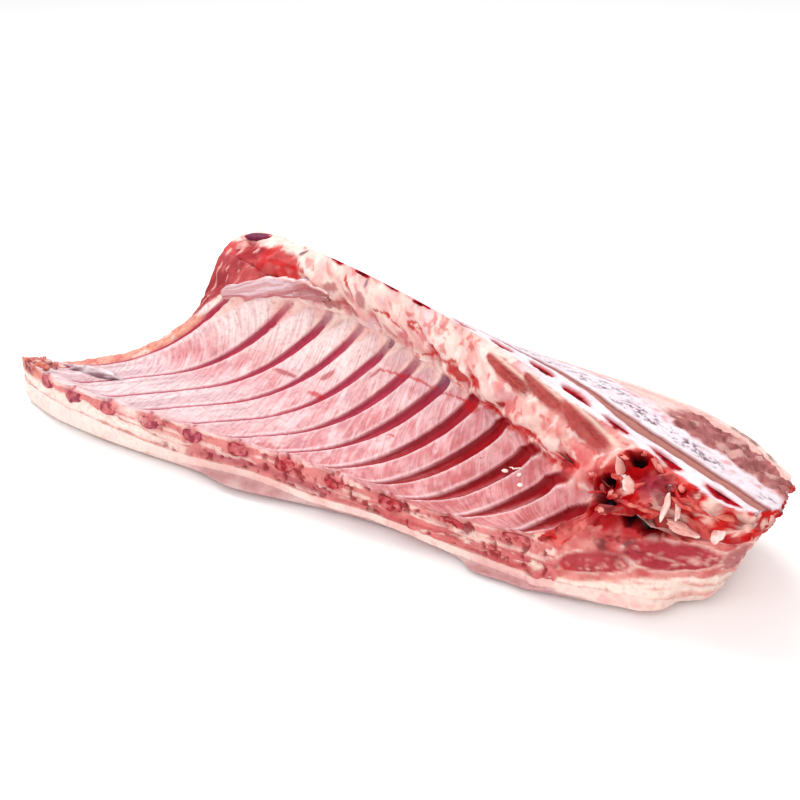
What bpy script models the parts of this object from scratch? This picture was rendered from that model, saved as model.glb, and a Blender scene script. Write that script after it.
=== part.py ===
"""Raw rack of lamb: one split side of the rib cage with its half backbone, twelve ribs and a stub.

The piece lies on its fat side with the rib cavity up.  The spine runs along X with the neck end at
+X, the breast edge is at -Y, the back at +Y, and the table is z = 0.

Every solid is lofted between stations.  A station k is a line across the piece that follows rib k
(1 is the last rib, at the loin end), so whole numbers lie on ribs and halves between them.  At each
station the outline of a solid is a list of (y, z) points, and plan_x gives the x of each of them.
"""
import math

import bmesh
import bpy
from mathutils import Vector, geometry
from mathutils.bvhtree import BVHTree

# Stations
RIBS = 12
MIDDLE = 6.5
HALF_SPAN = 5.5
LOIN_END = 0.42
LOIN_EDGE = 0.82
NECK_EDGE = 12.18
NECK_END = 13.4
RIB_TOP = 0.18
RIB_FOOT = 0.11
VERTEBRA_LIMITS = [LOIN_END, 0.70] + [i + 0.5 for i in range(1, RIBS)] + [12.46, NECK_END]

# Plan, metres
RIB_PITCH = 0.0258
RIB_ROOT_Y = 0.060
KNEE_Y = 0.072
LOIN_MARGIN = 0.004
LOIN_STEP = 0.036
NECK_X = 0.192
NECK_Y = 0.082
NECK_REACH = 0.073
NECK_SPREAD = 0.040
BREAST_LOIN_Y = -0.077
BREAST_RUN = 0.0114

# Heights and widths, metres
SPINE_CREST_X = -0.045
SPINE_TOP_Z = 0.088
SPINE_Y = 0.0645
FACE_WIDTH_LOIN = 0.050
FACE_WIDTH_NECK = 0.070
CAVITY_FLOOR = 0.020
CAVITY_RISE = 0.0365
CAVITY_RUN = 0.075
CAVITY_FLAT = 0.055
CAVITY_Y = 0.047
CAVITY_POWER = 2.2
SHOULDER_DROP = 0.030
SHOULDER_BULGE = 0.006
LIP_LOIN = 0.0060
LIP_NECK = 0.0015
LIP_WIDTH = 0.018
PUFF = 0.0018
RIB_DEPTH = 0.0070
HEAD_DEPTH = 0.0020
BONE_LENGTH = 0.026
BONE_DEPTH = 0.012
CANAL_DEPTH = 0.016
SPINE_BLADE = 0.0035
FAT_UNDER = 0.0045
FAT_BACK = 0.0045
CENTRE_X = -0.0019
CENTRE_Y = 0.0380
STUB_Y = 0.0200
STUB_Z = 0.0270
STUB_LENGTH = 0.014
STUB_RADII = (0.0065, 0.0050)
GAP = 0.0004

CAVITY_STEPS = 9
SHOULDER_STEPS = 3


def smooth(value):
    """Ease from 0 to 1."""
    value = min(max(value, 0.0), 1.0)
    return value * value * (3.0 - 2.0 * value)


def ramp(value, rounding=0.004):
    """Follow value where it is positive and 0 where it is negative, with a round corner."""
    return 0.5 * (value + math.sqrt(value * value + 4.0 * rounding * rounding))


def bump(value, centre, width):
    """A bell of height 1."""
    return math.exp(-((value - centre) / width) ** 2)


def mix(start, end, share):
    """Point on the line between two (y, z) points."""
    return (start[0] + (end[0] - start[0]) * share, start[1] + (end[1] - start[1]) * share)


# ---------------------------------------------------------------- plan

def slant(k):
    """Angle of rib k to the Y axis, seen from above."""
    t = (k - MIDDLE) / HALF_SPAN
    return math.radians(27.6 + 13.6 * t + 5.8 * t * t)


def rib_line_x(k, y):
    """The line of rib k, which straightens across the spine and leans back behind it."""
    lean = math.tan(slant(k))
    root = RIB_PITCH * (k - MIDDLE) + lean * (KNEE_Y - RIB_ROOT_Y)
    back = 0.35 * smooth((k - 6.0) / 6.0)
    return root - lean * ramp(KNEE_Y - y) - back * ramp(y - 0.085)


def loin_cut_x(y):
    """The cut behind the last rib, which runs out along the loin."""
    return rib_line_x(LOIN_EDGE, y) - LOIN_MARGIN - LOIN_STEP * smooth((y - 0.010) / 0.050)


def neck_cut_x(y, z):
    """The cut at the neck end: two slanting faces that meet at the spine."""
    x = NECK_X - NECK_REACH * math.tanh(ramp(NECK_Y - y) / NECK_SPREAD) - 0.6 * ramp(y - NECK_Y)
    fat_foot = 0.4 * bump(y, 0.055, 0.015) * max(0.030 - z, 0.0)
    undercut = 0.5 * smooth((y - 0.060) / 0.020) * (min(z, 0.060) - 0.030)
    return x + fat_foot + undercut


def plan_x(k, y, z):
    """x of a point of station k."""
    if k < LOIN_EDGE:
        share = (LOIN_EDGE - k) / (LOIN_EDGE - LOIN_END)
        return rib_line_x(LOIN_EDGE, y) + share * (loin_cut_x(y) - rib_line_x(LOIN_EDGE, y))
    if k > NECK_EDGE:
        share = (k - NECK_EDGE) / (NECK_END - NECK_EDGE)
        return rib_line_x(NECK_EDGE, y) + share * (neck_cut_x(y, z) - rib_line_x(NECK_EDGE, y))
    return rib_line_x(k, y)


def breast_y(k):
    """y of the sawn breast edge, level at the loin end and rising towards the neck."""
    rise = BREAST_RUN * ramp(min(k, NECK_EDGE) - 2.7, 0.5)
    return BREAST_LOIN_Y + rise + 0.002 * smooth((k - NECK_EDGE) / (NECK_END - NECK_EDGE))


# ---------------------------------------------------------------- outline at a station

class Station:
    """The outline of the piece at station k."""

    def __init__(self, k):
        self.k = k
        self.x = plan_x(k, KNEE_Y, 0.060)
        self.cos_slant = math.cos(slant(min(max(k, LOIN_EDGE), NECK_EDGE)))
        run = self.x - SPINE_CREST_X
        self.spine = (SPINE_Y + 0.30 * run * run, SPINE_TOP_Z - 0.52 * run * run)
        turn = smooth((self.x + 0.050) / 0.200)
        self.tilt = math.radians(34.0 - 20.0 * turn)
        self.width = FACE_WIDTH_LOIN + (FACE_WIDTH_NECK - FACE_WIDTH_LOIN) * turn
        self.width -= 0.012 * smooth((self.x - 0.150) / 0.035)
        self.edge_y = breast_y(k)
        self.shoulder = self.find_shoulder()
        self.bone_share = self.find_bone_share()

    def face(self, share, depth=0.0):
        """Point of the sawn face, from its ventral edge (0) to the back (1), at a depth below it."""
        along = share * self.width
        sine, cosine = math.sin(self.tilt), math.cos(self.tilt)
        y = self.spine[0] + along * cosine - depth * sine
        return (y, self.spine[1] - along * sine - depth * cosine)

    def cavity_y(self):
        """Where the cavity wall stands, nearer to the breast at the loin end."""
        return CAVITY_Y - 0.033 * math.exp(-(max(self.k, 1.0) - 1.0) / 0.9)

    def cavity_z(self, y):
        """Height of the cavity surface, without puffing."""
        run = (self.cavity_y() - y) / self.cos_slant
        share = max(0.0, (CAVITY_FLAT - run) / CAVITY_RUN)
        lip = LIP_LOIN + (LIP_NECK - LIP_LOIN) * smooth((self.k - 8.0) / 3.0)
        near_edge = smooth(1.0 - (y - self.edge_y) / LIP_WIDTH)
        return CAVITY_FLOOR + CAVITY_RISE * share ** CAVITY_POWER + lip * near_edge

    def find_shoulder(self):
        """Where the ribs leave the backbone."""
        z = self.spine[1] - SHOULDER_DROP
        share = ((z - CAVITY_FLOOR) / CAVITY_RISE) ** (1.0 / CAVITY_POWER)
        run = CAVITY_FLAT - CAVITY_RUN * share
        y = self.cavity_y() - run * self.cos_slant
        return (y, self.cavity_z(y))

    def shoulder_normal(self):
        """Unit normal of the slope between backbone and ribs, towards the cavity."""
        dy = self.shoulder[0] - self.spine[0]
        dz = self.shoulder[1] - self.spine[1]
        size = math.hypot(dy, dz)
        return (dz / size, -dy / size)

    def find_bone_share(self):
        """How far down that slope the backbone reaches."""
        size = math.dist(self.spine, self.shoulder)
        return min(BONE_LENGTH, size - 0.0035) / size

    def slope(self, share, depth=0.0):
        """Point of the slope between backbone (0) and ribs (1), at a depth below it."""
        y, z = mix(self.spine, self.shoulder, share)
        ny, nz = self.shoulder_normal()
        lift = SHOULDER_BULGE * math.sin(math.pi * share) - depth
        return (y + ny * lift, z + nz * lift)

    def cavity_point(self, share, depth=0.0):
        """Point of the cavity surface from the shoulder (0) to the breast edge (1)."""
        y = self.shoulder[0] + (self.edge_y - self.shoulder[0]) * share
        step = 0.0005
        rise = (self.cavity_z(y + step) - self.cavity_z(y - step)) / (2.0 * step)
        if share > 0.999:
            rise = 0.0
        size = math.hypot(rise, 1.0)
        return (y + depth * rise / size, self.cavity_z(y) - depth / size)

    # The chains below are shared by neighbouring solids; gap pushes a chain away from the first.

    def bone_seat(self, gap=0.0):
        """Chain round the buried side of the backbone, from the cavity to the sawn face."""
        lower = self.bone_share + gap / math.dist(self.spine, self.shoulder)
        tip = 0.85 + gap / self.width
        return [
            self.slope(lower),
            self.slope(lower, BONE_DEPTH + gap),
            self.face(0.45, CANAL_DEPTH + gap),
            self.face(0.62, SPINE_BLADE + 0.001 + gap),
            self.face(tip, SPINE_BLADE + gap),
            self.face(tip),
        ]

    def cut_foot_z(self):
        """Height of the lower edge of the breast cut, which lifts off the table in the middle."""
        x = plan_x(self.k, self.edge_y, 0.020)
        tip = 0.0025 * smooth((-0.130 - x) / 0.050)
        return 0.004 + 0.004 * bump(x, -0.030, 0.030) + 0.003 * bump(x, 0.037, 0.030) - tip

    def heel(self):
        """How far the underside lifts off the table at the two end cuts."""
        return 0.004 * smooth((self.k - 12.5) / 0.9) + 0.003 * smooth((0.72 - self.k) / 0.3)

    def underside(self):
        """Chain of the outer skin from the foot of the breast cut round to the back edge."""
        edge = self.edge_y
        x = plan_x(self.k, edge, 0.020)
        belly = 0.004 * bump(x, -0.100, 0.080) + 0.012 * bump(x, -0.028, 0.025)
        belly += 0.012 * bump(x, 0.105, 0.022) - 0.007 * bump(x, 0.037, 0.028)
        foot = self.cut_foot_z()
        back_y, back_z = self.face(1.0)
        heel = self.heel()
        landing = (edge + 0.012, heel)
        lift_off = (back_y - 0.022, heel)
        return [
            (edge, foot + heel),
            (edge + 0.003 - belly, 0.45 * foot + 0.0006 + heel),
            landing,
            mix(landing, lift_off, 0.35),
            mix(landing, lift_off, 0.70),
            lift_off,
            (back_y - 0.004, 0.10 * back_z + 0.7 * heel),
            (back_y + 0.007, 0.42 * back_z),
            (back_y + 0.008, 0.78 * back_z),
            (back_y, back_z),
        ]

    def fat_seam(self, gap=0.0):
        """Chain between fat and lean, from the breast cut round to the sawn face."""
        edge = self.edge_y
        x = plan_x(self.k, edge, 0.020)
        back_y, back_z = self.face(1.0)
        heel = self.heel()
        at_cut = self.cut_foot_z() + 0.0040 + 0.0070 * bump(x, -0.170, 0.070) + heel
        under = FAT_UNDER + heel + gap
        side = FAT_BACK + gap
        return [
            (edge, at_cut + gap),
            (edge + 0.008, 0.85 * at_cut + gap),
            (edge + 0.020, 0.5 * (at_cut + FAT_UNDER + heel) + gap),
            (mix((edge, 0.0), (back_y - 0.024, 0.0), 0.42)[0], under),
            (mix((edge, 0.0), (back_y - 0.024, 0.0), 0.72)[0], under),
            (back_y - 0.024 - gap, under),
            (back_y - 0.008 - gap, 0.10 * back_z + 0.004 + 0.7 * heel + gap),
            (back_y + 0.007 - side, 0.42 * back_z + 0.001),
            (back_y + 0.008 - side, 0.76 * back_z),
            self.face(1.0 - side / self.width),
        ]


def column_stations():
    """Stations of the lean and the fat: both edges and the bed of every rib, and the crowns between."""
    stations = [LOIN_END, 0.52, 0.62, 0.72]
    for rib in range(1, RIBS + 1):
        stations += [rib - RIB_TOP, rib - RIB_FOOT, rib + RIB_FOOT, rib + RIB_TOP]
        if rib < RIBS:
            stations.append(rib + 0.5)
    return stations + [12.5, 12.8, 13.1, NECK_END]


def is_rib_bed(k):
    """True for the two stations that run along the floor of a rib's bed."""
    return abs(abs(k - round(k)) - RIB_FOOT) < 0.001 and 1 <= round(k) <= RIBS


def is_crown(k):
    """True for the stations midway between two ribs."""
    return abs(k - math.floor(k) - 0.5) < 0.001 and 1.0 < k < RIBS + 1


def cavity_shares():
    """Where the cavity surface has its points, closest near the backbone."""
    return [(i / CAVITY_STEPS) ** 1.25 for i in range(CAVITY_STEPS + 1)]


# ---------------------------------------------------------------- meshes

def place(x, y, z):
    """A plan point in the part's frame, whose origin is on the table under the middle of the box."""
    return Vector((x - CENTRE_X, y - CENTRE_Y, z))


def to_world(k, outline):
    """Station outline in the part's frame."""
    return [place(plan_x(k, y, z), y, z) for y, z in outline]


def make_material(name, colour, roughness):
    """A Principled material."""
    material = bpy.data.materials.new(name)
    material.use_nodes = True
    shader = material.node_tree.nodes["Principled BSDF"]
    shader.inputs["Base Color"].default_value = (*colour, 1.0)
    shader.inputs["Roughness"].default_value = roughness
    shader.inputs["Metallic"].default_value = 0.0
    return material


def cap_triangles(outline):
    """Triangles that fill a (y, z) outline, as index triples."""
    return geometry.tessellate_polygon([[Vector((y, z, 0.0)) for y, z in outline]])


def loft(name, rings, material, triangles=None):
    """A closed solid through rings of points, each ring in the same order."""
    mesh = bmesh.new()
    rows = [[mesh.verts.new(point) for point in ring] for ring in rings]
    for near, far in zip(rows, rows[1:]):
        for i, start in enumerate(near):
            j = (i + 1) % len(near)
            mesh.faces.new((start, near[j], far[j], far[i]))
    for row in (rows[0], rows[-1]):
        for corners in triangles or [range(len(row))]:
            mesh.faces.new([row[i] for i in corners])
    bmesh.ops.recalc_face_normals(mesh, faces=mesh.faces)
    bmesh.ops.triangulate(mesh, faces=mesh.faces, quad_method="SHORT_EDGE", ngon_method="EAR_CLIP")
    data = bpy.data.meshes.new(name)
    mesh.to_mesh(data)
    mesh.free()
    data.materials.append(material)
    data.shade_smooth()
    data.set_sharp_from_angle(angle=math.radians(40.0))
    solid = bpy.data.objects.new(name, data)
    bpy.context.collection.objects.link(solid)
    return solid


def lean_outline(k):
    """Outline of the lean meat: bone seat, cavity with the bed of a rib, breast cut, fat seam."""
    station = Station(k)
    seat = station.bone_seat(GAP)
    above = 1.0 - 0.0012 / math.dist(station.spine, station.shoulder)
    outline = seat[::-1] + [station.slope(above)]
    for share in cavity_shares():
        depth = 0.0
        if is_rib_bed(k):
            depth = HEAD_DEPTH if share == 0.0 else RIB_DEPTH
        elif is_crown(k):
            depth = -PUFF * (1.0 - (2.0 * share - 1.0) ** 4)
        outline.append(station.cavity_point(share, depth))
    return outline + station.fat_seam(GAP)


def fat_outline(k):
    """Outline of the fat cover: outer skin out, fat seam back."""
    station = Station(k)
    return station.underside() + station.fat_seam()[::-1]


def vertebra_outline(k):
    """Outline of half a vertebra: cavity side down, buried side back up to the sawn face."""
    station = Station(k)
    shares = [station.bone_share * i / SHOULDER_STEPS for i in range(SHOULDER_STEPS)]
    return [station.slope(share) for share in shares] + station.bone_seat()


def make_layer(name, outline_at, material):
    """A layer that runs through the whole piece."""
    rings = [to_world(k, outline_at(k)) for k in column_stations()]
    return loft(name, rings, material, cap_triangles(outline_at(MIDDLE)))


def make_rib(number, material):
    """One rib bone from its head to the breast cut, flush with the cavity."""
    slack = GAP / RIB_PITCH / math.cos(slant(number))
    offsets = [-RIB_FOOT + slack, -RIB_TOP + slack, 0.0, RIB_TOP - slack, RIB_FOOT - slack]
    stations = [Station(number + offset) for offset in offsets]
    rings = []
    for share in cavity_shares():
        floor = (HEAD_DEPTH if share == 0.0 else RIB_DEPTH) - GAP
        depths = [floor, 0.0, -0.0003, 0.0, floor]
        ring = []
        for station, depth in zip(stations, depths):
            y, z = station.cavity_point(share, depth)
            ring.append(place(plan_x(station.k, y, z), y, z))
        rings.append(ring)
    return loft(f"rib_{number:02d}", rings, material)


def joint_slack(k):
    """Half the gap between two vertebrae, in stations, which crowd together at the neck end."""
    return GAP / RIB_PITCH * (2.0 if k > NECK_EDGE else 0.5)


def make_vertebra(number, start, end, material):
    """Half a vertebra: sawn body, half canal and half spinous blade."""
    between = [k for k in column_stations() if start + 0.05 < k < end - 0.05 and not is_rib_bed(k)]
    first = start if start == LOIN_END else start + joint_slack(start)
    last = end if end == NECK_END else end - joint_slack(end)
    rings = [to_world(k, vertebra_outline(k)) for k in [first] + between + [last]]
    return loft(f"vertebra_{number:02d}", rings, material, cap_triangles(vertebra_outline(MIDDLE)))


def oval_rod(name, start, end, radii, material):
    """A short oval rod between two points; radii are (across, upright)."""
    axis = (end - start).normalized()
    across = axis.cross(Vector((0.0, 0.0, 1.0))).normalized()
    upright = across.cross(axis)
    sides = 12
    rings = []
    for centre, scale in ((start, 0.8), (start.lerp(end, 0.15), 1.0), (end, 1.0)):
        ring = []
        for i in range(sides):
            angle = 2.0 * math.pi * i / sides
            offset = across * radii[0] * math.cos(angle) + upright * radii[1] * math.sin(angle)
            ring.append(centre + offset * scale)
        rings.append(ring)
    return loft(name, rings, material)


def neck_face_point(lean, y, z):
    """Point of the lean's neck cut at a height and a distance from the spine."""
    points = [vertex.co for vertex in lean.data.vertices]
    tree = BVHTree.FromPolygons(points, [face.vertices for face in lean.data.polygons])
    return tree.ray_cast(Vector((1.0, y, z)), Vector((-1.0, 0.0, 0.0)))[0]


def make_neck_stub(lean, material):
    """The first rib, sawn off short: it shows as an oval on the neck cut, in a hole of its own."""
    axis = Vector((0.70, -0.70, 0.10)).normalized()
    face = neck_face_point(lean, STUB_Y, STUB_Z)
    inner = face - axis * STUB_LENGTH
    wide, high = STUB_RADII
    stub = oval_rod("rib_13", inner, face + axis * 0.001, (wide, high), material)
    hole_end = face + axis * 0.010
    hole = oval_rod("rib_13_hole", inner - axis * GAP, hole_end, (wide + GAP, high + GAP), material)
    hole.hide_render = True
    hole.display_type = "WIRE"
    cut = lean.modifiers.new("rib_13_bed", "BOOLEAN")
    cut.operation = "DIFFERENCE"
    cut.object = hole
    return stub


def build():
    """Make every solid."""
    for item in list(bpy.data.objects):
        bpy.data.objects.remove(item, do_unlink=True)
    lean_colour = make_material("lean_meat", (0.46, 0.10, 0.10), 0.38)
    fat_colour = make_material("fat", (0.80, 0.62, 0.52), 0.42)
    rib_colour = make_material("rib_bone", (0.27, 0.03, 0.05), 0.35)
    spine_colour = make_material("sawn_bone", (0.72, 0.60, 0.60), 0.50)

    lean = make_layer("lean", lean_outline, lean_colour)
    make_layer("fat_cover", fat_outline, fat_colour)
    for number in range(1, RIBS + 1):
        make_rib(number, rib_colour)
    make_neck_stub(lean, rib_colour)
    for i, (start, end) in enumerate(zip(VERTEBRA_LIMITS, VERTEBRA_LIMITS[1:])):
        make_vertebra(i + 1, start, end, spine_colour)


build()
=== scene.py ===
"""Looks of the raw rack of lamb: flesh, fat, ribs and sawn backbone as fine meshes over the CAD.

The meshes are lofted between stations, as the CAD solids are.  A station k is a line across the
piece that follows rib k (1 is the last rib, at the loin end).  At each station the outline is made
of (y, z) points, and plan_x gives the x of each of them.  Each point also keeps the region it
belongs to and its share of the way through that region, and relief and colour are worked out
from those.
"""
import functools
import math

import bmesh
import bpy
import numpy as np
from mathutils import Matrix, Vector, geometry


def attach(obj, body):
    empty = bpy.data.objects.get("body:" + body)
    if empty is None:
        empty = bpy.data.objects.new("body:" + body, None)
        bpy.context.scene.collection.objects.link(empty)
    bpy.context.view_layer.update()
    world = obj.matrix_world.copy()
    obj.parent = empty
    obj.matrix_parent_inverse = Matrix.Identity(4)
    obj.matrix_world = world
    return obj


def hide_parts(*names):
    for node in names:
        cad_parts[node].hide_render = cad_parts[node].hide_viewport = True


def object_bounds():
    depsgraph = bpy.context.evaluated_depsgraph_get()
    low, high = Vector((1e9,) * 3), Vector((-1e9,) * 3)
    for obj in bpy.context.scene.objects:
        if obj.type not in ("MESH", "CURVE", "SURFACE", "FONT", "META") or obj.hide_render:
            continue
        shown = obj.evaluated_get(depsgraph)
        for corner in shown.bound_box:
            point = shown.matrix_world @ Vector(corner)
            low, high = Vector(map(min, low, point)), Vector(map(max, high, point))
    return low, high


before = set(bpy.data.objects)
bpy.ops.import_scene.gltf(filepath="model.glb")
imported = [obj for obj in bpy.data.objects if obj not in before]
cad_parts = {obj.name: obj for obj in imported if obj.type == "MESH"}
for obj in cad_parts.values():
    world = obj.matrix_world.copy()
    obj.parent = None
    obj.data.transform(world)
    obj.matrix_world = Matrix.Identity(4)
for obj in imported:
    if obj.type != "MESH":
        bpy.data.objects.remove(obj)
cad_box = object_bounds()
BOX_LOW, BOX_HIGH = (np.array(corner) for corner in cad_box)
FINE = 1.0

# Camera and light
CAMERA_TARGET = Vector((-0.0054, 0.0110, 0.0400))
CAMERA_AZIMUTH = 55.44
CAMERA_ELEVATION = 25.0
CAMERA_DISTANCE = 0.702
CAMERA_LENS = 63.3
AIM_HEIGHT = 0.03

# Stations
RIBS = 12
VERTEBRAE = 14
MIDDLE = 6.5
HALF_SPAN = 5.5
LOIN_END = 0.42
LOIN_EDGE = 0.82
NECK_EDGE = 12.18
NECK_END = 13.4

# Plan, metres and degrees
RIB_PITCH = 0.0258
RIB_SLANT = 27.6
RIB_FAN = 13.6
RIB_FAN_GROWTH = 5.8
RIB_ROOT_Y = 0.060
KNEE_Y = 0.072
LOIN_MARGIN = 0.004
LOIN_STEP = 0.036
NECK_X = 0.192
NECK_Y = 0.082
NECK_REACH = 0.073
NECK_SPREAD = 0.040
BREAST_LOIN_Y = -0.077
BREAST_RUN = 0.0114

# Heights, widths and tilts, metres and degrees
SPINE_CREST_X = -0.045
SPINE_TOP_Z = 0.088
SPINE_Y = 0.0645
SPINE_BEND = 0.30
SPINE_SAG = 0.52
TILT_LOIN = 34.0
TILT_NECK = 14.0
FACE_WIDTH_LOIN = 0.050
FACE_WIDTH_NECK = 0.070
CAVITY_FLOOR = 0.020
CAVITY_RISE = 0.0365
CAVITY_RUN = 0.075
CAVITY_FLAT = 0.055
CAVITY_Y = 0.047
CAVITY_POWER = 2.2
SHOULDER_DROP = 0.030
SHOULDER_BULGE = 0.006
LIP_LOIN = 0.0060
LIP_NECK = 0.0015
LIP_WIDTH = 0.018
PUFF = 0.0018
BONE_LENGTH = 0.026
BONE_DEPTH = 0.012
CANAL_DEPTH = 0.016
SPINE_BLADE = 0.0035
BLADE_TIP = 0.85
RIB_THICK = 0.0066
RIB_HEAD_THICK = 0.0040
FAT_UNDER = 0.0045
FAT_BACK = 0.0045
CENTRE_X = -0.0019
CENTRE_Y = 0.0380
OVERLAP = 0.0006
SEAM_LAP = 0.0012
FACE_SPAN = 0.060
SLOPE_SPAN = 0.031
MM = 0.001
SOFT_PASSES = 26
LEAN_SPACING = 0.0009
BONE_SPACING = 0.0010
FAT_SPACING = 0.0013
CAP_SPACING = 0.0011
SHARP_ANGLE = math.radians(50.0)
WALL_LENGTH = 0.125
FIBRE_TURN = math.radians(-36.0)

# Holes of the torn neck: place and size in mm
TORN_HOLES = (
    ((145.4, 28.9, 65.0), (3.2, 3.2, 3.2)),
    ((139.5, 18.0, 56.1), (2.6, 2.6, 3.4)),
    ((142.1, 13.7, 49.2), (4.2, 3.6, 3.0)),
    ((154.5, 21.0, 42.4), (8.0, 5.6, 2.8)),
    ((160.0, 24.6, 38.9), (6.0, 4.8, 2.4)),
)

# Small things
SHRED_GAP = 0.0080
SHRED_SHARE = 0.70
STUB_GRAINS = 46

# Floor
FLOOR_HALF = 40.0
FLOOR_GAP = 0.0002

# Regions of a surface
BURIED, SLOPE, CAVITY, CUT, FACE, SKIN, LOIN_CAP, NECK_CAP = range(8)


# ---------------------------------------------------------------- numbers

def smooth(value):
    """Ease from 0 to 1."""
    value = np.clip(value, 0.0, 1.0)
    return value * value * (3.0 - 2.0 * value)


def rise(value, start, run):
    """0 up to start, then easing to 1 over a run."""
    return smooth((value - start) / run)


def fall(value, end, run):
    """0 from end on, and easing to 1 over a run before it."""
    return smooth((end - value) / run)


def ramp(value, rounding=0.004):
    """Follow value where it is positive and 0 where it is negative, with a round corner."""
    return 0.5 * (value + np.sqrt(value * value + 4.0 * rounding * rounding))


def bump(value, centre, width):
    """A bell of height 1."""
    return np.exp(-((value - centre) / width) ** 2)


def mix(start, end, share):
    """Point or colour on the line between two."""
    return np.asarray(start) + (np.asarray(end) - np.asarray(start)) * share


def along_line(at, run, corners):
    """Points of a line through corners, from the run along the line of each."""
    return np.stack([np.interp(at, run, values) for values in np.asarray(corners).T], axis=-1)


def soften(line, passes):
    """Round the corners of a line of points."""
    for _ in range(passes):
        line[1:-1] = 0.25 * line[:-2] + 0.5 * line[1:-1] + 0.25 * line[2:]
    return line


def lattice(i, j, n, seed):
    """A fixed random number from 0 to 1 for each whole-number place."""
    value = (i * 73856093) ^ (j * 19349663) ^ (n * 83492791) ^ (seed * 2654435761)
    value = (value ^ (value >> 13)) & 0xFFFFFFFF
    value = (value * 1274126177) & 0xFFFFFFFF
    value = (value ^ (value >> 16)) & 0xFFFFFFFF
    value = (value * 668265263) & 0xFFFFFFFF
    return ((value ^ (value >> 15)) & 0xFFFFFF) / float(0xFFFFFF)


def noise(x, y, z, seed):
    """Smooth noise from -1 to 1 that changes over a distance of about 1."""
    cell_x, cell_y, cell_z = np.floor(x), np.floor(y), np.floor(z)
    near = [cell.astype(np.int64) for cell in (cell_x, cell_y, cell_z)]
    part_x, part_y, part_z = smooth(x - cell_x), smooth(y - cell_y), smooth(z - cell_z)
    total = 0.0
    for di, weight_x in ((0, 1.0 - part_x), (1, part_x)):
        for dj, weight_y in ((0, 1.0 - part_y), (1, part_y)):
            for dn, weight_z in ((0, 1.0 - part_z), (1, part_z)):
                value = lattice(near[0] + di, near[1] + dj, near[2] + dn, seed)
                total = total + weight_x * weight_y * weight_z * value
    return 2.0 * total - 1.0


def flat_noise(x, y, seed):
    """Smooth noise over two values."""
    return noise(x, y, np.zeros_like(x), seed)


def cloud(points, size, seed, octaves=3):
    """Layered noise over points in space; size is that of the largest lumps, in metres."""
    total = 0.0
    for octave in range(octaves):
        x, y, z = (points * (2.0 ** octave / size)).T
        total = total + noise(x, y, z, seed + 17 * octave) * 0.55 ** octave
    return total


# ---------------------------------------------------------------- plan

def slant(k):
    """Angle of rib k to the Y axis, seen from above."""
    t = (k - MIDDLE) / HALF_SPAN
    return np.radians(RIB_SLANT + RIB_FAN * t + RIB_FAN_GROWTH * t * t)


def rib_line_x(k, y):
    """The line of rib k, which straightens across the spine and leans back behind it."""
    lean = np.tan(slant(k))
    root = RIB_PITCH * (k - MIDDLE) + lean * (KNEE_Y - RIB_ROOT_Y)
    back = 0.35 * rise(k, 6.0, 6.0)
    return root - lean * ramp(KNEE_Y - y) - back * ramp(y - 0.085)


def loin_cut_x(y):
    """The cut behind the last rib, which runs out along the loin."""
    return rib_line_x(LOIN_EDGE, y) - LOIN_MARGIN - LOIN_STEP * rise(y, 0.010, 0.050)


def neck_cut_x(y, z):
    """The cut at the neck end: two slanting faces that meet at the spine."""
    x = NECK_X - NECK_REACH * np.tanh(ramp(NECK_Y - y) / NECK_SPREAD) - 0.6 * ramp(y - NECK_Y)
    fat_foot = 0.4 * bump(y, 0.055, 0.015) * np.maximum(0.030 - z, 0.0)
    undercut = 0.5 * rise(y, 0.060, 0.020) * (np.minimum(z, 0.060) - 0.030)
    return x + fat_foot + undercut


def plan_x(k, y, z):
    """x of the points of station k."""
    if k < LOIN_EDGE:
        share = (LOIN_EDGE - k) / (LOIN_EDGE - LOIN_END)
        return mix(rib_line_x(LOIN_EDGE, y), loin_cut_x(y), share)
    if k > NECK_EDGE:
        share = (k - NECK_EDGE) / (NECK_END - NECK_EDGE)
        return mix(rib_line_x(NECK_EDGE, y), neck_cut_x(y, z), share)
    return rib_line_x(k, y)


def breast_y(k):
    """y of the sawn breast edge, level at the loin end and rising towards the neck."""
    climb = BREAST_RUN * ramp(min(k, NECK_EDGE) - 2.7, 0.5)
    return BREAST_LOIN_Y + climb + 0.002 * smooth((k - NECK_EDGE) / (NECK_END - NECK_EDGE))


# ---------------------------------------------------------------- outline at a station

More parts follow.
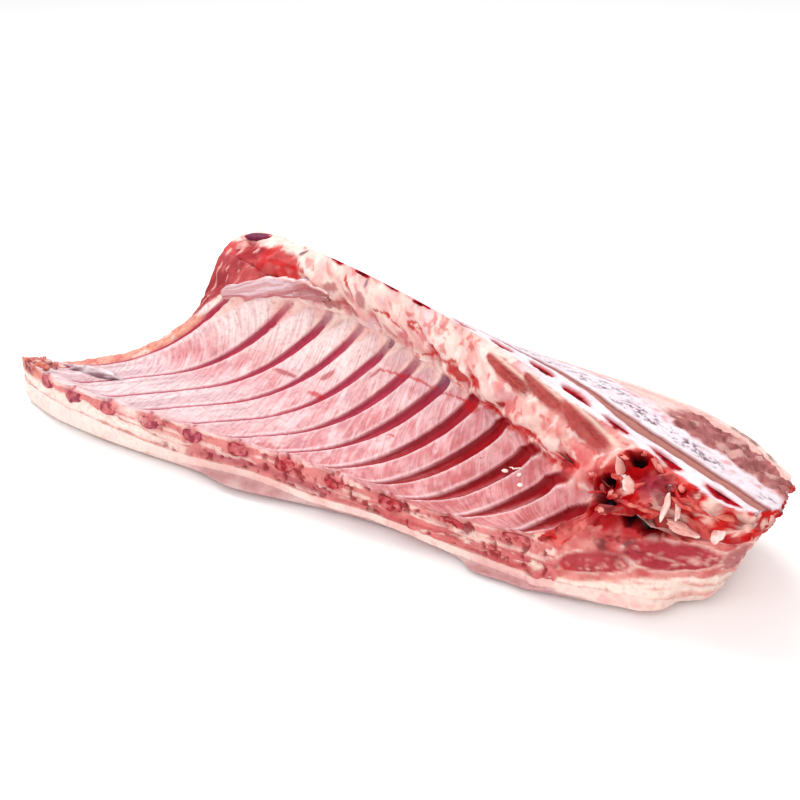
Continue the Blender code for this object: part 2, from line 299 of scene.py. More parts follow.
class Station:
    """The outline of the piece at station k; shares and depths may be arrays."""

    def __init__(self, k):
        self.k = k
        self.x = plan_x(k, KNEE_Y, 0.060)
        self.cos_slant = math.cos(slant(min(max(k, LOIN_EDGE), NECK_EDGE)))
        run = self.x - SPINE_CREST_X
        self.spine = np.array((SPINE_Y + SPINE_BEND * run * run, SPINE_TOP_Z - SPINE_SAG * run * run))
        turn = smooth((self.x + 0.050) / 0.200)
        self.tilt = math.radians(TILT_LOIN + (TILT_NECK - TILT_LOIN) * turn)
        self.width = FACE_WIDTH_LOIN + (FACE_WIDTH_NECK - FACE_WIDTH_LOIN) * turn
        self.width -= 0.012 * rise(self.x, 0.150, 0.035)
        self.edge_y = breast_y(k)
        self.shoulder = self.find_shoulder()
        along = self.shoulder - self.spine
        self.slope_length = math.hypot(*along)
        self.slope_normal = np.array((along[1], -along[0])) / self.slope_length
        self.bone_share = min(BONE_LENGTH, self.slope_length - 0.0035) / self.slope_length
        self.find_wall()

    def face(self, share, depth=0.0):
        """Points of the sawn face, from its ventral edge (0) to the back (1)."""
        along = np.asarray(share) * self.width
        sine, cosine = math.sin(self.tilt), math.cos(self.tilt)
        y = self.spine[0] + along * cosine - depth * sine
        return np.stack((y, self.spine[1] - along * sine - depth * cosine), axis=-1)

    def cavity_y(self):
        """Where the cavity wall stands, nearer to the breast at the loin end."""
        return CAVITY_Y - 0.033 * math.exp(-(max(self.k, 1.0) - 1.0) / 0.9)

    def cavity_z(self, y):
        """Height of the cavity surface, without puffing."""
        run = (self.cavity_y() - y) / self.cos_slant
        share = np.maximum(0.0, (CAVITY_FLAT - run) / CAVITY_RUN)
        lip = LIP_LOIN + (LIP_NECK - LIP_LOIN) * rise(self.k, 8.0, 3.0)
        near_edge = smooth(1.0 - (y - self.edge_y) / LIP_WIDTH)
        return CAVITY_FLOOR + CAVITY_RISE * share ** CAVITY_POWER + lip * near_edge

    def find_shoulder(self):
        """Where the ribs leave the backbone."""
        z = self.spine[1] - SHOULDER_DROP
        share = ((z - CAVITY_FLOOR) / CAVITY_RISE) ** (1.0 / CAVITY_POWER)
        run = CAVITY_FLAT - CAVITY_RUN * share
        y = self.cavity_y() - run * self.cos_slant
        return np.array((y, self.cavity_z(y)))

    def slope(self, share, depth=0.0):
        """Points of the slope between backbone (0) and ribs (1)."""
        share = np.asarray(share)
        lift = SHOULDER_BULGE * np.sin(np.pi * share) - depth
        along = self.spine + (self.shoulder - self.spine) * share[..., None]
        return along + self.slope_normal * lift[..., None]

    def cavity(self, share, depth=0.0):
        """Points of the cavity surface from the shoulder (0) to the breast edge (1)."""
        share = np.asarray(share)
        y = self.shoulder[0] + (self.edge_y - self.shoulder[0]) * share
        step = 0.0005
        pitch = (self.cavity_z(y + step) - self.cavity_z(y - step)) / (2.0 * step)
        pitch = np.where(share > 0.999, 0.0, pitch)
        size = np.hypot(pitch, 1.0)
        return np.stack((y + depth * pitch / size, self.cavity_z(y) - depth / size), axis=-1)

    def find_wall(self):
        """The slope and the cavity as one line with a soft corner between them."""
        on_slope, on_cavity = np.linspace(-1.0, 0.0, 30, endpoint=False), np.linspace(0.0, 1.0, 90)
        ways = np.concatenate((on_slope, on_cavity))
        corners = np.concatenate((self.slope(1.0 + on_slope), self.cavity(on_cavity)))
        run = np.concatenate(((0.0,), np.cumsum(np.hypot(*np.diff(corners, axis=0).T))))
        even = np.linspace(0.0, run[-1], int(run[-1] / MM))
        self.wall_ways = np.interp(even, run, ways)
        self.wall_line = soften(along_line(even, run, corners), SOFT_PASSES)
        ahead = np.gradient(self.wall_line, axis=0)
        normal = np.stack((ahead[:, 1], -ahead[:, 0]), axis=-1)
        self.wall_normal = normal / np.linalg.norm(normal, axis=1, keepdims=True)

    def wall(self, way, depth=0.0):
        """Points of the wall: way is -1 at the sawn face, 0 where the ribs start, 1 at the breast."""
        lines = (self.wall_line, self.wall_normal)
        at, normal = (along_line(way, self.wall_ways, line) for line in lines)
        return at - normal * np.asarray(depth)[..., None]

    def bone_seat(self):
        """Chain round the buried side of the backbone, from the cavity to the sawn face."""
        return np.array([
            self.slope(self.bone_share, BONE_DEPTH),
            self.face(0.45, CANAL_DEPTH),
            self.face(0.62, SPINE_BLADE + 0.001),
            self.face(BLADE_TIP, SPINE_BLADE),
        ])

    def cut_foot_z(self):
        """Height of the lower edge of the breast cut, which lifts off the table in the middle."""
        x = plan_x(self.k, self.edge_y, 0.020)
        tip = 0.0025 * smooth((-0.130 - x) / 0.050)
        return 0.004 + 0.004 * bump(x, -0.030, 0.030) + 0.003 * bump(x, 0.037, 0.030) - tip

    def heel(self):
        """How far the underside lifts off the table at the two end cuts."""
        return 0.004 * rise(self.k, 12.5, 0.9) + 0.003 * fall(self.k, 0.72, 0.3)

    def underside(self):
        """Chain of the outer skin from the foot of the breast cut round to the back edge."""
        edge = self.edge_y
        x = plan_x(self.k, edge, 0.020)
        belly = 0.004 * bump(x, -0.100, 0.080) + 0.012 * bump(x, -0.028, 0.025)
        belly += 0.012 * bump(x, 0.105, 0.022) - 0.007 * bump(x, 0.037, 0.028)
        foot = self.cut_foot_z()
        back_y, back_z = self.face(1.0)
        heel = self.heel()
        landing = (edge + 0.012, heel)
        lift_off = (back_y - 0.022, heel)
        return np.array([
            (edge, foot + heel),
            (edge + 0.003 - belly, 0.45 * foot + 0.0006 + heel),
            landing,
            mix(landing, lift_off, 0.35),
            mix(landing, lift_off, 0.70),
            lift_off,
            (back_y - 0.004, 0.10 * back_z + 0.7 * heel),
            (back_y + 0.007, 0.42 * back_z),
            (back_y + 0.008, 0.78 * back_z),
            (back_y, back_z),
        ])

    def fat_seam(self, overlap=0.0):
        """Chain between fat and lean, from the breast cut round to the sawn face."""
        edge = self.edge_y
        x = plan_x(self.k, edge, 0.020)
        back_y, back_z = self.face(1.0)
        heel = self.heel()
        at_cut = self.cut_foot_z() + 0.0040 + 0.0070 * bump(x, -0.170, 0.070) + heel
        under = FAT_UNDER + heel - overlap
        side = FAT_BACK - overlap
        return np.array([
            (edge, at_cut),
            (edge + 0.008, 0.85 * at_cut - overlap),
            (edge + 0.020, 0.5 * (at_cut + FAT_UNDER + heel) - overlap),
            (0.58 * edge + 0.42 * (back_y - 0.024), under),
            (0.28 * edge + 0.72 * (back_y - 0.024), under),
            (back_y - 0.024 + overlap, under),
            (back_y - 0.008 + overlap, 0.10 * back_z + 0.004 + 0.7 * heel - overlap),
            (back_y + 0.007 - side, 0.42 * back_z + 0.001),
            (back_y + 0.008 - side, 0.76 * back_z),
            self.face(1.0 - FAT_BACK / self.width),
        ])


@functools.lru_cache(maxsize=None)
def station_at(k):
    """The station at k, worked out once."""
    return Station(k)


# ---------------------------------------------------------------- meshes

def spread(start, end, count):
    """Evenly spread shares from start up to, but not including, end."""
    return np.linspace(start, end, count, endpoint=False)


def columns(spacing):
    """Stations a spacing (m) apart from the loin end to the neck end."""
    spans = (
        (LOIN_END, LOIN_EDGE, 0.040),
        (LOIN_EDGE, NECK_EDGE, RIB_PITCH * (NECK_EDGE - LOIN_EDGE)),
        (NECK_EDGE, NECK_END, 0.044),
    )
    found = []
    for start, end, length in spans:
        found.extend(spread(start, end, int(FINE * length / spacing)))
    return found + [NECK_END]


def chain(region, points, shares=None):
    """A stretch of outline: region, shares and (y, z) points."""
    points = np.atleast_2d(points)
    if shares is None:
        shares = np.linspace(0.0, 1.0, len(points))
    return region, np.atleast_1d(shares), points


def fine_chain(region, corners, count):
    """A smooth stretch through corner points, cut into count points."""
    steps = np.hypot(*np.diff(corners, axis=0).T)
    at = np.concatenate(((0.0,), np.cumsum(steps))) / steps.sum()
    shares = spread(0.0, 1.0, count)
    return region, shares, soften(along_line(shares, at, corners), 3)


def lean_ring(station):
    """Outline of the lean meat."""
    lower = station.bone_share - SEAM_LAP / station.slope_length
    on_slope = spread(lower, 1.0, int(16 * FINE))
    on_cavity = spread(0.0, 1.0, int(140 * FINE))
    seam = station.fat_seam(OVERLAP)
    top = station.cavity(np.array([1.0]))[0]
    on_cut = spread(0.0, 1.0, int(24 * FINE))
    cut = top + (seam[0] - top) * on_cut[:, None]
    face_end = 1.0 - FAT_BACK / station.width
    on_face = np.linspace(face_end, BLADE_TIP - 0.01, int(10 * FINE))
    slope_sink = 0.0007 * smooth(1.0 - (on_slope - lower) * station.slope_length / SEAM_LAP)
    face_sink = 0.0006 * smooth(1.0 - (on_face - BLADE_TIP) * 50.0)
    return [
        chain(BURIED, station.bone_seat()[::-1] + (0.0, OVERLAP)),
        chain(SLOPE, station.wall(on_slope - 1.0, slope_sink), on_slope),
        chain(CAVITY, station.wall(on_cavity), on_cavity),
        chain(CUT, cut, on_cut),
        chain(BURIED, seam[:-1]),
        chain(FACE, station.face(on_face, face_sink), on_face),
    ]


def fat_ring(station):
    """Outline of the fat cover."""
    skin = station.underside()
    seam = station.fat_seam()
    on_cut = spread(0.0, 1.0, int(12 * FINE))
    cut = seam[0] + (skin[0] - seam[0]) * on_cut[:, None]
    face_end = 1.0 - FAT_BACK / station.width
    on_face = spread(1.0, face_end, int(7 * FINE))
    return [
        chain(CUT, cut, on_cut),
        fine_chain(SKIN, skin, int(150 * FINE)),
        chain(FACE, station.face(on_face), on_face),
        chain(BURIED, seam[:0:-1]),
    ]


def backbone_ring(station):
    """Outline of the sawn half backbone."""
    lower = station.bone_share
    on_slope = spread(0.0, lower, int(34 * FINE))
    on_face = np.linspace(BLADE_TIP, 0.0, int(62 * FINE))
    return [
        chain(SLOPE, station.wall(on_slope - 1.0), on_slope),
        chain(SLOPE, [station.wall(lower - 1.0, SEAM_LAP)], [lower]),
        chain(BURIED, station.bone_seat()),
        chain(FACE, station.face(on_face[:-1]), on_face[:-1]),
    ]


def triangles_of(faces):
    """Corner numbers of the triangles that quads and triangles are made of."""
    quads = np.array([face for face in faces if len(face) == 4], dtype=np.int64).reshape(-1, 4)
    rest = np.array([face for face in faces if len(face) == 3], dtype=np.int64).reshape(-1, 3)
    return np.concatenate((quads[:, [0, 1, 2]], quads[:, [0, 2, 3]], rest))


def areas_of(points, triangles):
    """Area vector of each triangle of a closed surface, and 1 if they look outwards, else -1."""
    a, b, c = (points[triangles[:, i]] for i in range(3))
    across = np.cross(b - a, c - a)
    return across, math.copysign(1.0, np.einsum("ij,ij->i", a, across).sum())


def normals_of(points, triangles, chosen):
    """Outward normal at each point of a closed surface, from the chosen triangles only."""
    across, outwards = areas_of(points, triangles)
    total = np.zeros_like(points)
    for i in range(3):
        for axis in range(3):
            total[:, axis] += np.bincount(triangles[chosen, i], across[chosen, axis], len(points))
    length = np.linalg.norm(total, axis=1, keepdims=True)
    return outwards * total / np.maximum(length, 1e-12)


def quads_between(near, far, size):
    """Faces between two rings of points that start at the numbers near and far."""
    steps = [(i, (i + 1) % size) for i in range(size)]
    return [(near + i, near + j, far + j, far + i) for i, j in steps]


class Surface:
    """Points of a mesh with what relief and colour are worked out from."""

    def __init__(self):
        self.rows, self.faces = [], []
        self.count = 0

    def add(self, *values):
        """Add points by their x, y, z, k, share and region; returns the number of the first."""
        start = self.count
        self.rows.append(np.array(np.broadcast_arrays(*values), dtype=float))
        self.count += self.rows[-1].shape[1]
        return start

    def close(self):
        """Join the collected points and work out what depends on them."""
        x, y, z, self.k, self.share, self.region = np.concatenate(self.rows, axis=1)
        self.points = np.stack((x, y, z), axis=-1) - (CENTRE_X, CENTRE_Y, 0.0)
        self.triangles = triangles_of(self.faces)
        self.rest = self.points
        self.way = np.where(self.region == SLOPE, self.share - 1.0, self.share)
        self.is_wall = np.isin(self.region, (SLOPE, CAVITY))
        self.lumps = self.cloud(0.012, 91)
        self.small = self.cloud(0.004, 92)
        self.fibre = np.zeros(self.count)

    def swell(self, height):
        """Move the points outwards by a height each, in metres; buried faces don't turn the way out."""
        buried = self.region == BURIED
        hidden = buried[self.triangles].any(axis=1)
        shown = normals_of(self.points, self.triangles, ~hidden)
        self.points = self.points + shown * np.where(buried, 0.0, height)[:, None]

    def cloud(self, size, seed, octaves=3):
        """Layered noise over the points, with lumps of a size in metres."""
        return cloud(self.rest, size, seed, octaves)

    def islands(self, size, seed, level, softness):
        """A mask of 1 where layered noise is over a level, with a soft edge."""
        return rise(self.cloud(size, seed), level, softness)

    def near(self, place, size, power=2.0):
        """A mask of 1 at a place in space (mm) that fades out at a distance (mm) from it."""
        distance = np.linalg.norm((self.rest - np.asarray(place) * MM) / (np.asarray(size) * MM), axis=1)
        return np.exp(-distance ** power)

    def patch(self, k, way, length, width, turn, ragged):
        """A mask of 1 in a ragged oval on the wall; length and width are half sizes."""
        along, across = (self.k - k) / length, (self.way - way) / width
        cosine, sine = math.cos(turn), math.sin(turn)
        along, across = along * cosine + across * sine, across * cosine - along * sine
        distance = np.hypot(along, across) + ragged * self.cloud(0.006, 5)
        return fall(distance, 1.15, 0.4) * self.is_wall

    def line(self, corners, width, ragged):
        """A mask along a line through (k, way) corners on the wall, a width (way) wide."""
        corners = np.asarray(corners, dtype=float)
        centre = np.interp(self.k, corners[:, 0], corners[:, 1], left=9.0, right=9.0)
        distance = np.abs(self.way - centre) / width + ragged * self.cloud(0.004, 9)
        return fall(distance, 1.2, 0.6) * self.is_wall


def inside(outline, points):
    """Which (y, z) points lie inside a closed outline."""
    result = np.zeros(len(points), dtype=bool)
    for (y0, z0), (y1, z1) in zip(outline, np.roll(outline, -1, axis=0)):
        if z0 == z1:
            continue
        crosses = (z0 > points[:, 1]) != (z1 > points[:, 1])
        at = y0 + (points[:, 1] - z0) * (y1 - y0) / (z1 - z0)
        result ^= crosses & (points[:, 0] < at)
    return result


def add_cap(surface, k, first, outline, region):
    """Fill an end outline with a fine net of triangles."""
    spacing = CAP_SPACING / FINE
    low, high = outline.min(axis=0), outline.max(axis=0)
    grid = np.stack(np.meshgrid(
        np.arange(low[0] + spacing, high[0], spacing), np.arange(low[1] + spacing, high[1], spacing),
    ), axis=-1).reshape(-1, 2)
    grid[:, 0] += 0.5 * spacing * (np.rint((grid[:, 1] - low[1]) / spacing) % 2)
    grid = grid[inside(outline, grid)]
    nearest = np.linalg.norm(grid[:, None] - outline[None], axis=2).min(axis=1)
    grid = grid[nearest > 0.55 * spacing]
    flat = [Vector(point) for point in np.concatenate((outline, grid))]
    loop = list(range(len(outline)))
    net = geometry.delaunay_2d_cdt(flat, [], [loop], 1, 1e-7)
    triangles, sources = net[2], net[3]
    start = surface.add(plan_x(k, *grid.T), *grid.T, k, 0.5, region) - len(outline)
    numbers = [(first if source[0] < len(outline) else start) + source[0] for source in sources]
    for triangle in triangles:
        corners = [numbers[i] for i in triangle]
        if len(set(corners)) == 3:
            surface.faces.append(corners)


def loft(ring_at, stations):
    """A closed surface through the rings at some stations."""
    surface = Surface()
    starts, outlines = [], []
    for k in stations:
        rings = ring_at(Station(k))
        outline = np.concatenate([points for _, _, points in rings])
        shares = np.concatenate([shares for _, shares, _ in rings])
        regions = np.concatenate([np.full(len(points), region) for region, _, points in rings])
        y, z = outline.T
        starts.append(surface.add(plan_x(k, y, z), y, z, k, shares, regions))
        outlines.append(outline)
    for near, far in zip(starts, starts[1:]):
        surface.faces.extend(quads_between(near, far, len(outlines[0])))
    add_cap(surface, stations[0], starts[0], outlines[0], LOIN_CAP)
    add_cap(surface, stations[-1], starts[-1], outlines[-1], NECK_CAP)
    surface.close()
    return surface


def add_object(name, data):
    """A new object in the scene."""
    thing = bpy.data.objects.new(name, data)
    bpy.context.collection.objects.link(thing)
    return thing


def make_piece(name, surface, tint, material, nodes, flow):
    """A finished piece from a surface, with its colours, which rides on the body."""
    points = np.clip(surface.points, BOX_LOW, BOX_HIGH)
    turn = int(areas_of(points, surface.triangles)[1])
    mesh = bpy.data.meshes.new(name)
    mesh.from_pydata(points.tolist(), [], [list(map(int, face[::turn])) for face in surface.faces])
    opaque = np.concatenate((tint, np.ones((len(points), 1))), axis=1)
    for attribute, kind, field, values in (
        ("tint", "FLOAT_COLOR", "color", opaque),
        ("flow", "FLOAT_VECTOR", "vector", flow),
        ("fibre", "FLOAT", "value", surface.fibre),
    ):
        data = mesh.attributes.new(attribute, kind, "POINT").data
        data.foreach_set(field, values.astype(np.float32).ravel())
    mesh.materials.append(material)
    mesh.shade_smooth()
    mesh.set_sharp_from_angle(angle=SHARP_ANGLE)
    piece = add_object(name, mesh)
    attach(piece, "root")
    if nodes:
        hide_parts(*nodes)


# ---------------------------------------------------------------- colours and materials

DEPTH = 0.86
CONTRAST = 1.12


def shade(red, green, blue):
    """A colour as it looks on a screen (0 to 255), as the numbers that light is worked out with."""
    value = np.array((red, green, blue)) / 255.0
    light = np.where(value <= 0.04045, value / 12.92, ((value + 0.055) / 1.055) ** 2.4)
    return DEPTH * light ** CONTRAST


def blend(first, second, share):
    """Two screen colours mixed by a share for each point."""
    return mix(shade(*first), shade(*second), share[:, None])


CREAM = shade(247, 220, 210)
CREAM_PINK = shade(240, 190, 184)
WHITE_FAT = shade(251, 234, 226)
MUSCLE = shade(186, 92, 98)
MUSCLE_DARK = shade(140, 48, 58)
MUSCLE_PALE = shade(216, 138, 138)
BLOOD = shade(198, 2, 10)
BLOOD_DARK = shade(112, 0, 8)
MARROW = shade(118, 22, 38)
MARROW_DARK = shade(64, 8, 20)
# Painted shade inside the holes of the torn neck
HOLE_SHADE = shade(34, 8, 14)
DRIED = shade(164, 108, 96)
# Painted shade of the fat's underside near the breast edge
UNDERSIDE_SHADE = shade(196, 152, 160)


class Paint:
    """Colours of a surface's points, laid over each other."""

    def __init__(self, surface, colour):
        self.tint = np.tile(colour, (len(surface.points), 1))

    def cover(self, colour, mask):
        """Lay a colour over what is there, as far as the mask says; a tuple is a screen colour."""
        if isinstance(colour, tuple):
            colour = shade(*colour)
        mask = np.clip(mask, 0.0, 1.0)[:, None]
        self.tint = self.tint + (colour - self.tint) * mask

    def layers(self, where, rows):
        """Lay colours over each other inside a mask; a row is a colour and how far it covers."""
        for colour, amount in rows:
            self.cover(colour, where * amount)

    def vary(self, amount):
        """Make the colours lighter or darker."""
        self.tint = np.clip(self.tint * (1.0 + amount)[:, None], 0.0, 1.0)


def add_node(tree, kind, output, inputs, **settings):
    """One output of a new node, whose inputs are links or fixed values."""
    node = tree.nodes.new(kind)
    for name, value in settings.items():
        setattr(node, name, value)
    fill(tree, node, inputs)
    return node.outputs[output]


def fill(tree, node, inputs):
    """Link or set the inputs of a node."""
    for name, value in inputs.items():
        if isinstance(value, bpy.types.NodeSocket):
            tree.links.new(value, node.inputs[name])
        else:
            node.inputs[name].default_value = value


def add_noise(tree, vector, scale, detail, stretch=(1.0, 1.0, 1.0)):
    """A noise texture over a vector, with its own stretch."""
    scaled = [scale * part for part in stretch]
    place = add_node(tree, "ShaderNodeMapping", "Vector", {"Scale": scaled, "Vector": vector})
    inputs = {"Scale": 1.0, "Detail": detail, "Vector": place}
    return add_node(tree, "ShaderNodeTexNoise", "Fac", inputs)


def add_range(tree, value, low, high, to_low, to_high):
    """A value carried from one range to another."""
    inputs = {"From Min": low, "From Max": high, "To Min": to_low, "To Max": to_high, "Value": value}
    return add_node(tree, "ShaderNodeMapRange", "Result", inputs)


def add_mix(tree, kind, factor, first, second):
    """A colour mixed with a fixed screen colour."""
    inputs = {"Factor": factor, "A": first, "B": (*shade(*second), 1.0)}
    return add_node(tree, "ShaderNodeMix", "Result", inputs, data_type="RGBA", blend_type=kind)


def add_math(tree, operation, first, second):
    """Two values multiplied or added."""
    return add_node(tree, "ShaderNodeMath", "Value", {0: first, 1: second}, operation=operation)


def add_attribute(tree, name, output):
    """What the points of a piece carry under a name."""
    return add_node(tree, "ShaderNodeAttribute", output, {}, attribute_name=name)


def make_flesh(name, roughness, coat, fibre, grain, soft=0.12, shine=0.24):
    """Moist flesh: the points' own colours with fibres along the flow, mottling and fine relief."""
    material = bpy.data.materials.new(name)
    material.use_nodes = True
    tree = material.node_tree
    tint = add_attribute(tree, "tint", "Color")
    flow = add_attribute(tree, "flow", "Vector")
    strength = add_attribute(tree, "fibre", "Fac")
    place = tree.nodes.new("ShaderNodeTexCoord").outputs["Object"]
    threads = add_noise(tree, flow, 1.0, 2.0, (1250.0, 55.0, 1.0))
    mottle = add_noise(tree, place, 420.0, 6.0)
    specks = add_noise(tree, place, 1500.0, 3.0)
    darker = add_range(tree, threads, 0.45, 0.70, 0.0, fibre)
    darker = add_math(tree, "MULTIPLY", darker, strength)
    paler = add_range(tree, threads, 0.50, 0.30, 0.0, 0.35 * fibre)
    paler = add_math(tree, "MULTIPLY", paler, strength)
    redder = add_range(tree, mottle, 0.50, 0.75, 0.0, grain)
    colour = add_mix(tree, "MULTIPLY", darker, tint, (214, 128, 138))
    colour = add_mix(tree, "SCREEN", paler, colour, (150, 120, 125))
    colour = add_mix(tree, "MULTIPLY", redder, colour, (214, 150, 148))
    height = add_math(tree, "ADD", add_math(tree, "MULTIPLY", threads, strength), specks)
    inputs = {"Strength": 0.5, "Distance": 0.0003, "Height": height}
    relief = add_node(tree, "ShaderNodeBump", "Normal", inputs)
    fill(tree, tree.nodes["Principled BSDF"], {
        "Base Color": colour,
        "Roughness": add_range(tree, mottle, 0.3, 0.7, roughness - 0.1, roughness + 0.12),
        "Normal": relief,
        "Coat Weight": coat,
        "Coat Roughness": 0.16,
        "Specular IOR Level": shine,
        "Subsurface Weight": soft,
        "Subsurface Radius": (1.0, 0.35, 0.25),
        "Subsurface Scale": 0.002,
    })
    return material


# ---------------------------------------------------------------- wall

def rib_width(rib, way):
    """Half the width, in stations, of the band of bone that shows; way is 0 at the spine."""
    cranial = rise(rib, 4.0, 6.0)
    narrowing = smooth((way - 0.04 - 0.42 * cranial) / (0.36 + 0.10 * cranial))
    tip = smooth((rib_reach(rib) + 0.20 - way) / 0.22)
    width = 0.013 + (0.052 + 0.056 * cranial) * (1.0 - narrowing)
    return width * (1.0 - 0.45 * tip) * (1.0 - 0.7 * fall(rib, 2.9, 1.6))


def rib_recess(rib, way):
    """How deep the band of bone lies between the muscle pads, in metres."""
    cranial = rise(rib, 4.0, 6.0)
    head = smooth((rib_reach(rib) + 0.07 - way) / 0.07)
    level = 1.0 - smooth((way - 0.10 - 0.4 * cranial) / 0.5)
    return 0.0001 + (0.0003 + 0.0004 * cranial) * level + 0.0030 * head


def rib_shift(rib, way):
    """How far a rib's head leans towards the neck as it climbs the backbone, in stations."""
    return (0.10 + 0.45 * rise(rib, 6.0, 3.0)) * np.clip(-way / 0.36, 0.0, 1.2)


def rib_reach(rib):
    """How far up the slope a rib's head shows."""
    return -0.08 - 0.22 * rise(rib, 6.5, 2.0)


def streaks(flow, across, along, seed):
    """Noise drawn out along the fibres, for streaks of a width and a length in metres."""
    return noise(flow[:, 0] / across, flow[:, 1] / along, flow[:, 2] / across, seed)


def flow_of(surface):
    """Across and along the fibres of each point, in metres."""
    across = surface.k * RIB_PITCH * 0.88
    along = surface.way * WALL_LENGTH
    sine, cosine = math.sin(FIBRE_TURN), math.cos(FIBRE_TURN)
    turned = (across * cosine + along * sine, along * cosine - across * sine, np.zeros_like(across))
    x, y, z = surface.rest.T
    layers = np.stack((z + 0.15 * y, x, y), axis=-1)
    return np.where(surface.is_wall[:, None], np.stack(turned, axis=-1), layers)


def band_colour(rib, aside, way):
    """Colour of the band where a rib shows; aside is its place across the band, in stations."""
    cranial = rise(rib, 5.0, 4.5)
    across = aside / np.maximum(rib_width(rib, way), 0.02)
    vein = smooth((-0.1 - across) / 0.9)
    bare = rise(rib, 9.4, 1.2) * smooth((across + 0.3) / 0.7) * rise(way, 0.10, 0.15)
    thin = smooth((way - 0.42 - 0.25 * cranial) / 0.35)
    head = fall(way, 0.10, 0.14) * fall(rib, 7.8, 1.0) * rise(rib, 2.2, 0.8)
    fading = smooth((rib_reach(rib) + 0.13 - way) / 0.14)
    colour = blend((178, 62, 88), (158, 2, 22), cranial)
    for other, share in (
        (shade(116, 0, 16), 0.45 * vein * (0.35 + 0.65 * cranial)),
        (shade(190, 112, 116), 0.85 * bare),
        (shade(176, 84, 108), thin * (0.75 - 0.35 * cranial)),
        (shade(128, 104, 130), 0.9 * head),
        (mix(CREAM_PINK, shade(206, 60, 60), 0.8 * cranial[:, None]), 0.9 * fading),
    ):
        colour = mix(colour, other, share[:, None])
    return colour


def paint_wall(paint, surface):
    """The side that faced the chest: pads between the ribs and fat on the backbone; its relief."""
    k, way, lumps, small = surface.k, surface.way, surface.lumps, surface.small
    here, flow = surface.is_wall, flow_of(surface)
    rib = np.clip(np.rint(k), 1, RIBS)
    reach = rib_reach(rib)
    aside = k - rib - rib_shift(rib, way)
    half = rib_width(rib, way)
    beside = np.abs(aside)
    off_rib = beside - half
    cranial = rise(k, 6.5, 4.5)
    fibre = streaks(flow, 0.0016, 0.016, 21) + 0.6 * streaks(flow, 0.0008, 0.012, 22)
    wander = surface.cloud(0.010, 23)
    arch = 0.16 * (1.0 - np.clip(beside / 0.5, 0.0, 1.0)) ** 2 - 0.02 - 0.16 * cranial
    pad = smooth((way - arch - 0.02 * wander) / 0.05) * smooth((12.75 - k + 0.1 * wander) / 0.2)
    showing = smooth((way - reach + 0.02) / 0.20) * (k < 12.7)
    wall = smooth(off_rib / 0.065)
    fading = 1.0 - 0.75 * rise(way, 0.2, 0.6)

    paint.layers(here, ((CREAM, 1.0), (CREAM_PINK, smooth(0.45 + lumps) * 0.8)))
    height = 0.0006 * lumps + 0.0002 * small + paint_backbone_fat(paint, surface)
    fine = streaks(flow, 0.0012, 0.020, 35)
    paint_pads(paint, surface, pad * here, off_rib, (fibre, fine, wander), cranial)
    crown = np.sin(np.pi * np.clip(off_rib / (1.0 - 2.0 * half), 0.0, 1.0))
    height = height * (1.0 - 0.7 * pad * smooth(way / 0.1))
    height += PUFF * (0.10 + 0.75 * crown) * fading * wall * pad
    height += 0.00016 * fibre * pad * wall
    height += 0.0003 * bump(off_rib, 0.10, 0.035) * fading * smooth((way + 0.1) / 0.1)
    height -= (rib_recess(rib, np.maximum(way, reach + 0.07)) + 0.0003) * (1.0 - wall) * showing

    spill = np.where(aside < 0.0, 0.110 - 0.050 * rise(way, 0.2, 0.4), 0.030)
    near_rib = smooth((spill + 0.045 - off_rib) / 0.07) * (0.35 + 0.20 * cranial)
    edge = smooth((spill - off_rib) / 0.055)
    paint.layers(here * showing, (
        ((198, 84, 100), near_rib * (0.35 + 0.65 * fading)),
        (band_colour(rib, aside, way), edge),
    ))
    threads = (0.15 + 0.85 * pad * wall * (1.0 - 0.4 * cranial)) * (1.0 - 0.9 * showing * edge)
    surface.fibre = np.where(here, threads, surface.fibre)
    paint_wall_marks(paint, surface)
    height += 0.0026 * rise(way, 0.90, 0.10) * bump(beside, 0.0, 0.24) * rise(k, 1.4, 0.8)
    height = (height + paint_loin_block(paint, surface)) * here + paint_torn_zone(paint, surface)
    crest = (surface.region == SLOPE) * smooth((-0.90 + 0.02 * lumps + 0.015 * small - way) / 0.02)
    paint.cover((242, 230, 236), crest * rise(k, 8.5, 1.0))
    worn = 1.0 - smooth((way + 1.0) / 0.16)
    return np.where(here, height * (1.0 - worn) - bevel_depth(k) * worn, height)


def bevel_depth(k):
    """How far the ventral edge of the sawn face is worn down, in metres."""
    return 0.0006 + 0.0016 * rise(k, 8.5, 1.5)


def paint_pads(paint, surface, pad, off_rib, patterns, cranial):
    """Muscle that shines pink through the lining of the chest, paler beside the ribs, with painted
    highlights there and high up.
    """
    k, way = surface.k, surface.way
    fibre, fine, wander = patterns
    middle = rise(off_rib, 0.05, 0.15)
    silky = rise(way, 0.34, 0.3) * fall(k, 6.8, 3.5)
    show = smooth(0.62 + 0.30 * fibre + 0.55 * wander)
    mauve = smooth(surface.cloud(0.012, 33) + 0.1)
    lines = rise(flat_noise(way * 2.0, k * 7.0, 36), 0.2, 0.2)
    # rim is a painted highlight along the edge of each pad beside the ribs
    rim = bump(off_rib, 0.085, 0.040) * (0.45 + 0.35 * cranial)
    # A painted highlight near the top of the pads, on the loin half
    painted_highlight = bump(way, 0.07, 0.15) * fall(k, 7.0, 3.5)
    paint.layers(pad, (
        (blend((236, 204, 206), (218, 154, 154), cranial), 1.0),
        (blend((210, 124, 128), (194, 92, 96), cranial), middle * show * (0.80 - 0.6 * silky)),
        ((200, 148, 158), middle * mauve * 0.45 * (1.0 - 0.7 * cranial)),
        ((243, 214, 218), rise(fine, 0.10, 0.6) * (0.42 - 0.25 * cranial)),
        ((230, 214, 216), 0.85 * silky),
        ((198, 158, 166), silky * lines * 0.55),
        # Painted highlights: along the pads' edges, then near their tops
        ((244, 216, 218), rim * (1.0 - silky)),
        ((248, 232, 229), 0.9 * painted_highlight),
    ))


